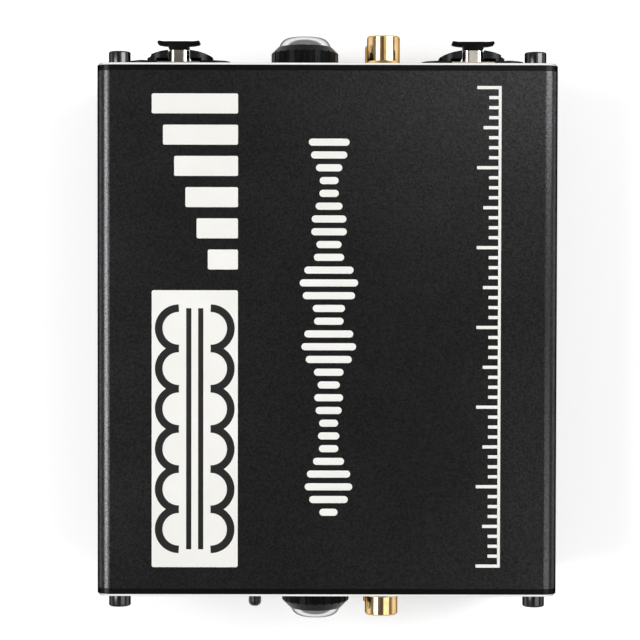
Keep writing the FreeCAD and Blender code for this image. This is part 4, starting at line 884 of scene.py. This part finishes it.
@dataclass
class TopPrint:
    """White screen print on the top face: a block, level bars, a waveform and a scale.

    All of it is plain fields and strokes, read from the output end towards the input end.
    """

    block_left_mm: float = -44.0
    block_width_mm: float = 21.6
    block_start_mm: float = -59.6
    block_length_mm: float = 69.6
    block_corner_mm: float = 0.5
    bars_start_mm: float = 15.2
    bars_pitch_mm: float = 7.8
    bar_width_mm: float = 5.0
    bar_corner_mm: float = 0.4
    bar_count: int = 6
    bar_least: float = 0.35
    wave_middle_mm: float = 0.4
    wave_start_mm: float = -46.6
    wave_pitch_mm: float = 3.2
    wave_fill: float = 0.56
    wave_corner_mm: float = 0.9
    wave_count: int = 30
    wave_reach_mm: float = 7.6
    wave_least: float = 0.3
    wave_beat: float = 0.61
    wave_drift: float = 0.17
    wave_shift: float = 0.4
    scale_left_mm: float = 37.4
    scale_start_mm: float = -59.6
    scale_pitch_mm: float = 2.5
    scale_count: int = 48
    scale_long_mm: float = 5.4
    scale_middle_mm: float = 3.8
    scale_short_mm: float = 2.4
    scale_line_mm: float = 0.7
    tick_mm: float = 0.8
    scale_corner_mm: float = 0.1
    sign_margin_mm: float = 4.5
    sign_loops: int = 6
    core_half_mm: float = 1.5
    core_bar_mm: float = 1.3
    core_corner_mm: float = 0.1
    coil_foot_mm: float = 4.0
    coil_line_mm: float = 1.9
    coil_steps: int = 33
    ink_mm: float = 0.03
    ink_foot_mm: float = 0.01
    ink_slope_mm: float = 0.03
    ink_shoulder: float = 0.6
    corner_steps: int = 9
    crossing_lift_mm: float = 0.002

    def __post_init__(self) -> None:
        """Take the top face's height from the sleeve."""
        self.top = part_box("enclosure_sleeve")[1].z

    def level(self, outline: np.ndarray, height: float) -> np.ndarray:
        """Put an outline on the top face.

        Args:
            outline: points along X and Y, in millimetres.
            height: their height over the top face, in millimetres.

        Returns:
            The points in metres.
        """
        up = np.full(len(outline), self.top / MM + height)
        return np.stack([outline[:, 0], outline[:, 1], up], axis=-1) * MM

    def field(self, shell: Shell, left: float, right: float, start: float, stop: float,
              corner: float, layer: int = 1) -> None:
        """Add a field with round corners.

        The outline is four quarter circles; rings go from the coat up to the ink's top and a little
        inwards, and the top is closed flat.

        Args:
            shell: where it is collected.
            left: lower bound along X, in millimetres.
            right: upper bound along X.
            start: lower bound along Y.
            stop: upper bound along Y.
            corner: corner radius.
            layer: how many inks lie under its top, counted with its own.
        """
        tiny = 1e-3
        corner = min(corner, (right - left) / 2 - tiny, (stop - start) / 2 - tiny)
        turn = np.linspace(0, math.pi / 2, self.corner_steps)
        quarters = []
        for quarter, (x, y) in enumerate(((right - corner, stop - corner), (left + corner, stop - corner),
                                          (left + corner, start + corner), (right - corner, start + corner))):
            a = turn + quarter * math.pi / 2
            quarters.append(np.stack([x + corner * np.cos(a), y + corner * np.sin(a)], axis=-1))
        outline = np.concatenate(quarters)
        middle = np.array([(left + right) / 2, (start + stop) / 2])
        size = np.array([right - left, stop - start])
        base = self.ink_mm * (layer - 1)
        rings = []
        for inset, height in ((0.0, -self.ink_foot_mm), (0.0, self.ink_mm * self.ink_shoulder),
                              (self.ink_slope_mm, self.ink_mm)):
            spot = middle + (outline - middle) * (1 - 2 * inset / size)
            rings.append(self.level(spot, base + height))
        shell.prism(np.array(rings))

    def stroke(self, shell: Shell, path: np.ndarray, width: float, layer: int, lift: float) -> None:
        """Add a stroke of even width along a path, square at its ends.

        Each point of the path is moved to both sides along its normal by half the width.

        Args:
            shell: where it is collected.
            path: points along X and Y, in millimetres.
            width: width of the stroke.
            layer: how many inks lie under its top, counted with its own.
            lift: how much thicker than the others this stroke is where they cross.
        """
        ahead = np.gradient(path, axis=0)
        ahead /= np.linalg.norm(ahead, axis=1, keepdims=True)
        beside = np.stack([-ahead[:, 1], ahead[:, 0]], axis=-1) * width / 2
        low = self.ink_mm * (layer - 1) - self.ink_foot_mm
        high = self.ink_mm * layer + lift
        corners = ((-1, low), (-1, high), (1, high), (1, low))
        shell.prism(np.stack([self.level(path + beside * way, height) for way, height in corners], axis=1))

    def white(self) -> None:
        """The white ink: block, rising level bars, waveform and scale.

        The half length of waveform bar n is the product of a sine and a slower cosine of n, without
        its sign, over a least share.
        """
        shell = Shell()
        left = self.block_left_mm
        right = left + self.block_width_mm
        stop = self.block_start_mm + self.block_length_mm
        self.field(shell, left, right, self.block_start_mm, stop, self.block_corner_mm)
        for index in range(self.bar_count):
            start = self.bars_start_mm + index * self.bars_pitch_mm
            share = self.bar_least + (1 - self.bar_least) * index / (self.bar_count - 1)
            self.field(shell, right - self.block_width_mm * share, right, start,
                       start + self.bar_width_mm, self.bar_corner_mm)
        place = np.arange(self.wave_count)
        swell = np.abs(np.sin(place * self.wave_beat) * np.cos(place * self.wave_drift + self.wave_shift))
        reach = self.wave_reach_mm * (self.wave_least + (1 - self.wave_least) * swell)
        middle = self.wave_middle_mm
        for index, half in enumerate(reach.tolist()):
            start = self.wave_start_mm + index * self.wave_pitch_mm
            self.field(shell, middle - half, middle + half, start,
                       start + self.wave_pitch_mm * self.wave_fill, self.wave_corner_mm)
        base = self.scale_left_mm + self.scale_long_mm
        corner = self.scale_corner_mm
        last = self.scale_start_mm + self.scale_pitch_mm * self.scale_count
        self.field(shell, base, base + self.scale_line_mm, self.scale_start_mm, last + self.tick_mm, corner)
        heights = [self.scale_long_mm] + [self.scale_short_mm] * 3
        heights += [self.scale_middle_mm] + [self.scale_short_mm] * 3
        for index in range(self.scale_count + 1):
            start = self.scale_start_mm + index * self.scale_pitch_mm
            height = heights[index % len(heights)]
            self.field(shell, base - height, base + corner, start, start + self.tick_mm, corner)
        shell.piece("top_print_white", WHITE_INK, "case")

    def black(self) -> None:
        """The sign of a transformer in the white block: two rows of loops with two core bars between.

        A loop is half a circle: along the row by cosine, away from the core by sine.
        """
        shell = Shell()
        middle = self.block_left_mm + self.block_width_mm / 2
        first = self.block_start_mm + self.sign_margin_mm
        run = self.block_length_mm - 2 * self.sign_margin_mm
        last = first + run
        for bar in (-self.core_half_mm, self.core_half_mm):
            left = middle + bar - self.core_bar_mm / 2
            self.field(shell, left, left + self.core_bar_mm, first, last, self.core_corner_mm, layer=2)
        step = run / self.sign_loops
        radius = step / 2
        turn = np.linspace(0, math.pi, self.coil_steps)
        for away in (-1, 1):
            for loop in range(self.sign_loops):
                y = first + step * (loop + 0.5) - radius * np.cos(turn)
                x = middle + away * (self.coil_foot_mm + radius * np.sin(turn))
                lift = self.crossing_lift_mm * (loop % 2)
                self.stroke(shell, np.stack([x, y], axis=-1), self.coil_line_mm, layer=2, lift=lift)
        shell.piece("top_print_black", BLACK_INK, "case")


@dataclass
class Softbox:
    """A soft studio lamp: where it stands, how large it is and how bright its face looks."""

    name: str
    place: tuple[float, float, float]
    width: float
    length: float
    radiance: float

    def build(self) -> None:
        """Make the lamp face the object; its power is radiance times pi times its area."""
        light = bpy.data.lights.new(self.name, "AREA")
        light.shape = "RECTANGLE"
        light.size = self.width
        light.size_y = self.length
        light.energy = self.radiance * math.pi * self.width * self.length
        lamp = bpy.data.objects.new(self.name, light)
        bpy.context.scene.collection.objects.link(lamp)
        spot = Vector(self.place)
        back = spot.normalized()
        right = Vector((0, 1, 0)).cross(back).normalized()
        turn = Matrix((right, back.cross(right), back)).transposed().to_4x4()
        lamp.matrix_world = Matrix.Translation(spot) @ turn
        lamp.visible_camera = False


@dataclass
class Studio:
    """Pale floor, soft lamps, a sky that dims upwards, and the camera of the photograph.

    Lengths are metres where a name says nothing else. The glow of the floor and the level of the
    sky are shares of white.
    """

    floor_rings: tuple[float, ...] = (0.0, 0.3, 1.0, 3.0)
    floor_steps: int = 48
    floor_gap_mm: float = 0.02
    paper: str = "#f4f4f4"
    glow_from: float = 0.25
    glow_until: float = 1.3
    glow_near: float = 0.4
    glow_far: float = 0.85
    rim_height: float = 0.32
    rim_level: float = 0.27
    crown_height: float = 0.92
    crown_level: float = 0.4
    camera_foot_mm: tuple[float, float] = (-2.38, 11.01)
    camera_height_mm: float = 430.0
    tilt_deg: tuple[float, float, float] = (1.121, 0.075, -0.11)
    focal_px: float = 1715.8
    picture_px: float = 640.0
    sensor_mm: float = 36.0
    clip_near: float = 0.01
    clip_far: float = 20.0

    def floor(self) -> None:
        """Large flat disc just under the feet, its rings wider outwards.

        The lamps' light fades with the distance on the floor, so its own glow rises with it, and
        the floor meets the pale horizon without an edge. Only rays that look at the floor see the
        glow, so it lights nothing.
        """
        shell = Shell()
        angle = np.linspace(0, 2 * np.pi, self.floor_steps, endpoint=False)
        radius = np.array(self.floor_rings)[:, None]
        level = np.full((len(radius), self.floor_steps), -self.floor_gap_mm * MM)
        shell.grid(np.stack([radius * np.cos(angle), radius * np.sin(angle), level], axis=-1), around=True)
        mesh = shell.mesh("studio_floor")
        ground = bpy.data.objects.new("studio_floor", mesh)
        bpy.context.scene.collection.objects.link(ground)
        material = bpy.data.materials.new("studio_paper")
        material.use_nodes = True
        tree = material.node_tree
        tree.nodes.clear()
        rays = add_node(tree, "ShaderNodeLightPath", {})
        seen = rays.outputs["Is Camera Ray"]
        for ray in ("Is Glossy Ray", "Is Transmission Ray"):
            either = {0: seen, 1: rays.outputs[ray]}
            seen = add_node(tree, "ShaderNodeMath", either, operation="MAXIMUM").outputs[0]
        spot = add_node(tree, "ShaderNodeTexCoord", {}).outputs["Object"]
        away = add_node(tree, "ShaderNodeVectorMath", {0: spot}, operation="LENGTH").outputs["Value"]
        fade = add_node(tree, "ShaderNodeMapRange", {
            "Value": away, "From Min": self.glow_from, "From Max": self.glow_until,
            "To Min": self.glow_near, "To Max": self.glow_far,
        }).outputs[0]
        glow = add_node(tree, "ShaderNodeMath", {0: seen, 1: fade}, operation="MULTIPLY").outputs[0]
        paper = add_node(tree, "ShaderNodeBsdfDiffuse", {"Color": linear(self.paper)}).outputs[0]
        lift = add_node(tree, "ShaderNodeEmission", {"Color": linear("#ffffff"), "Strength": glow}).outputs[0]
        both = add_node(tree, "ShaderNodeAddShader", {0: paper, 1: lift}).outputs[0]
        add_node(tree, "ShaderNodeOutputMaterial", {"Surface": both})
        mesh.materials.append(material)

    def sky(self) -> None:
        """Soft surround: white at the horizon, dim straight up, by the height of the direction."""
        world = bpy.data.worlds.new("studio_surround")
        bpy.context.scene.world = world
        world.use_nodes = True
        tree = world.node_tree
        tree.nodes.clear()
        way = add_node(tree, "ShaderNodeTexCoord", {}).outputs["Generated"]
        height = add_node(tree, "ShaderNodeSeparateXYZ", {0: way}).outputs[2]
        rim, crown = (add_node(tree, "ShaderNodeMapRange", {
            "Value": height, "From Min": start, "From Max": stop, "To Min": 1.0, "To Max": level,
        }, interpolation_type="SMOOTHSTEP").outputs[0] for start, stop, level in (
            (0.0, self.rim_height, self.rim_level), (self.crown_height, 1.0, self.crown_level)))
        strength = add_node(tree, "ShaderNodeMath", {0: rim, 1: crown}, operation="MULTIPLY").outputs[0]
        sockets = {"Color": linear("#ffffff"), "Strength": strength}
        light = add_node(tree, "ShaderNodeBackground", sockets).outputs[0]
        add_node(tree, "ShaderNodeOutputWorld", {"Surface": light})

    def lamps(self) -> None:
        """Large softbox on the left, bright strip on the right of the input end, two dim ones."""
        for box in (
            Softbox("left_softbox", (-0.63, -0.02, 0.78), width=0.46, length=0.52, radiance=6.6),
            Softbox("right_softbox", (0.68, 0.28, 0.72), width=0.76, length=0.22, radiance=7.6),
            Softbox("right_fill", (0.57, -0.25, 0.82), width=0.7, length=0.28, radiance=1.7),
            Softbox("high_softbox", (0.22, 0.3, 0.95), width=0.36, length=0.36, radiance=0.7),
        ):
            box.build()

    def camera(self) -> None:
        """Camera straight above the case, turned by three small angles.

        A point of the case is seen after turning it about X, Y and Z by the three angles in turn,
        so the camera itself is turned by their opposites in the opposite order.
        """
        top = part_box("enclosure_sleeve")[1].z
        lens = bpy.data.cameras.new("camera")
        lens.sensor_fit = "HORIZONTAL"
        lens.sensor_width = self.sensor_mm
        lens.lens = self.focal_px / self.picture_px * self.sensor_mm
        lens.clip_start = self.clip_near
        lens.clip_end = self.clip_far
        view = bpy.data.objects.new("camera", lens)
        bpy.context.scene.collection.objects.link(view)
        about_x, about_y, about_z = (math.radians(-angle) for angle in self.tilt_deg)
        turn = (Matrix.Rotation(about_x, 4, "X") @ Matrix.Rotation(about_y, 4, "Y")
                @ Matrix.Rotation(about_z, 4, "Z"))
        across, along = self.camera_foot_mm
        spot = Vector((across * MM, along * MM, top + self.camera_height_mm * MM))
        view.matrix_world = Matrix.Translation(spot) @ turn
        bpy.context.scene.camera = view

    def build(self) -> None:
        """Set the whole studio up."""
        self.floor()
        self.sky()
        self.lamps()
        self.camera()
        bpy.context.scene.view_settings.view_transform = "Standard"


@dataclass
class Isolator:
    """The whole object: every node of the construction dressed, and the pieces added to it."""

    screw_across_mm: float = 9.5
    screw_up_mm: float = 12.0

    def dress(self) -> None:
        """Give every node the finish of its slot."""
        for part in frame["record"]["subparts"]:
            thing = frame["nodes"][part["node"]]
            finish = FINISHES[part["material_slot"]]
            thing.data.materials.clear()
            thing.data.materials.append(finish.material())
        LOG.info("dressed %d nodes", len(frame["nodes"]))

    def flange_screw_places(self, end: End) -> list[tuple[End, float, float]]:
        """Places of the XLR flange screws of one end, the upper one on the outer side.

        Args:
            end: the end of the case.

        Returns:
            End, place along X and place along Z of each screw, in metres.
        """
        places = []
        for side in Side:
            low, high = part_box(f"{side.label}_{end.label}_xlr_insert")
            across = (low.x + high.x) / 2
            up = (low.z + high.z) / 2
            outer = side.value * self.screw_across_mm * MM
            places.append((end, across + outer, up + self.screw_up_mm * MM))
            places.append((end, across - outer, up - self.screw_up_mm * MM))
        return places

    def block_screw_places(self) -> list[tuple[End, float, float]]:
        """Place of the block screw between the two phono sockets of each end.

        Returns:
            End, place along X and place along Z of each screw, in metres.
        """
        places = []
        for end in End:
            low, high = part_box(end.label + "_phono_housing")
            places.append((end, (low.x + high.x) / 2, (low.z + high.z) / 2))
        return places

    def build(self) -> None:
        """Dress the nodes, then add print, screws and thumb bars."""
        self.dress()
        surface_print = TopPrint()
        surface_print.white()
        surface_print.black()
        for end in End:
            CapScrews(end).build()
        CrossScrews("input_xlr_screws", self.flange_screw_places(End.INPUT), seat_mm=1.2, radius_mm=2.6,
                    rise_mm=0.45, rim_mm=0.9, length_mm=8.0, shank_mm=1.45).build()
        CrossScrews("output_xlr_screws", self.flange_screw_places(End.OUTPUT), seat_mm=-0.05, radius_mm=2.65,
                    rise_mm=0.0, rim_mm=0.05, length_mm=8.0, shank_mm=1.45, countersunk=True).build()
        CrossScrews("phono_block_screws", self.block_screw_places(), seat_mm=0.6, radius_mm=2.0,
                    rise_mm=0.6, rim_mm=0.6, length_mm=8.0, shank_mm=1.3, slot_mm=0.34, arm_mm=1.25).build()
        for side in Side:
            ThumbBar(side).build()


def main() -> None:
    """Build the studio and the object."""
    logging.basicConfig(level=logging.INFO, format="%(message)s")
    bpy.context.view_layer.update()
    Studio().build()
    Isolator().build()
    LOG.info("boxes written")


if __name__ == "__main__":
    main()
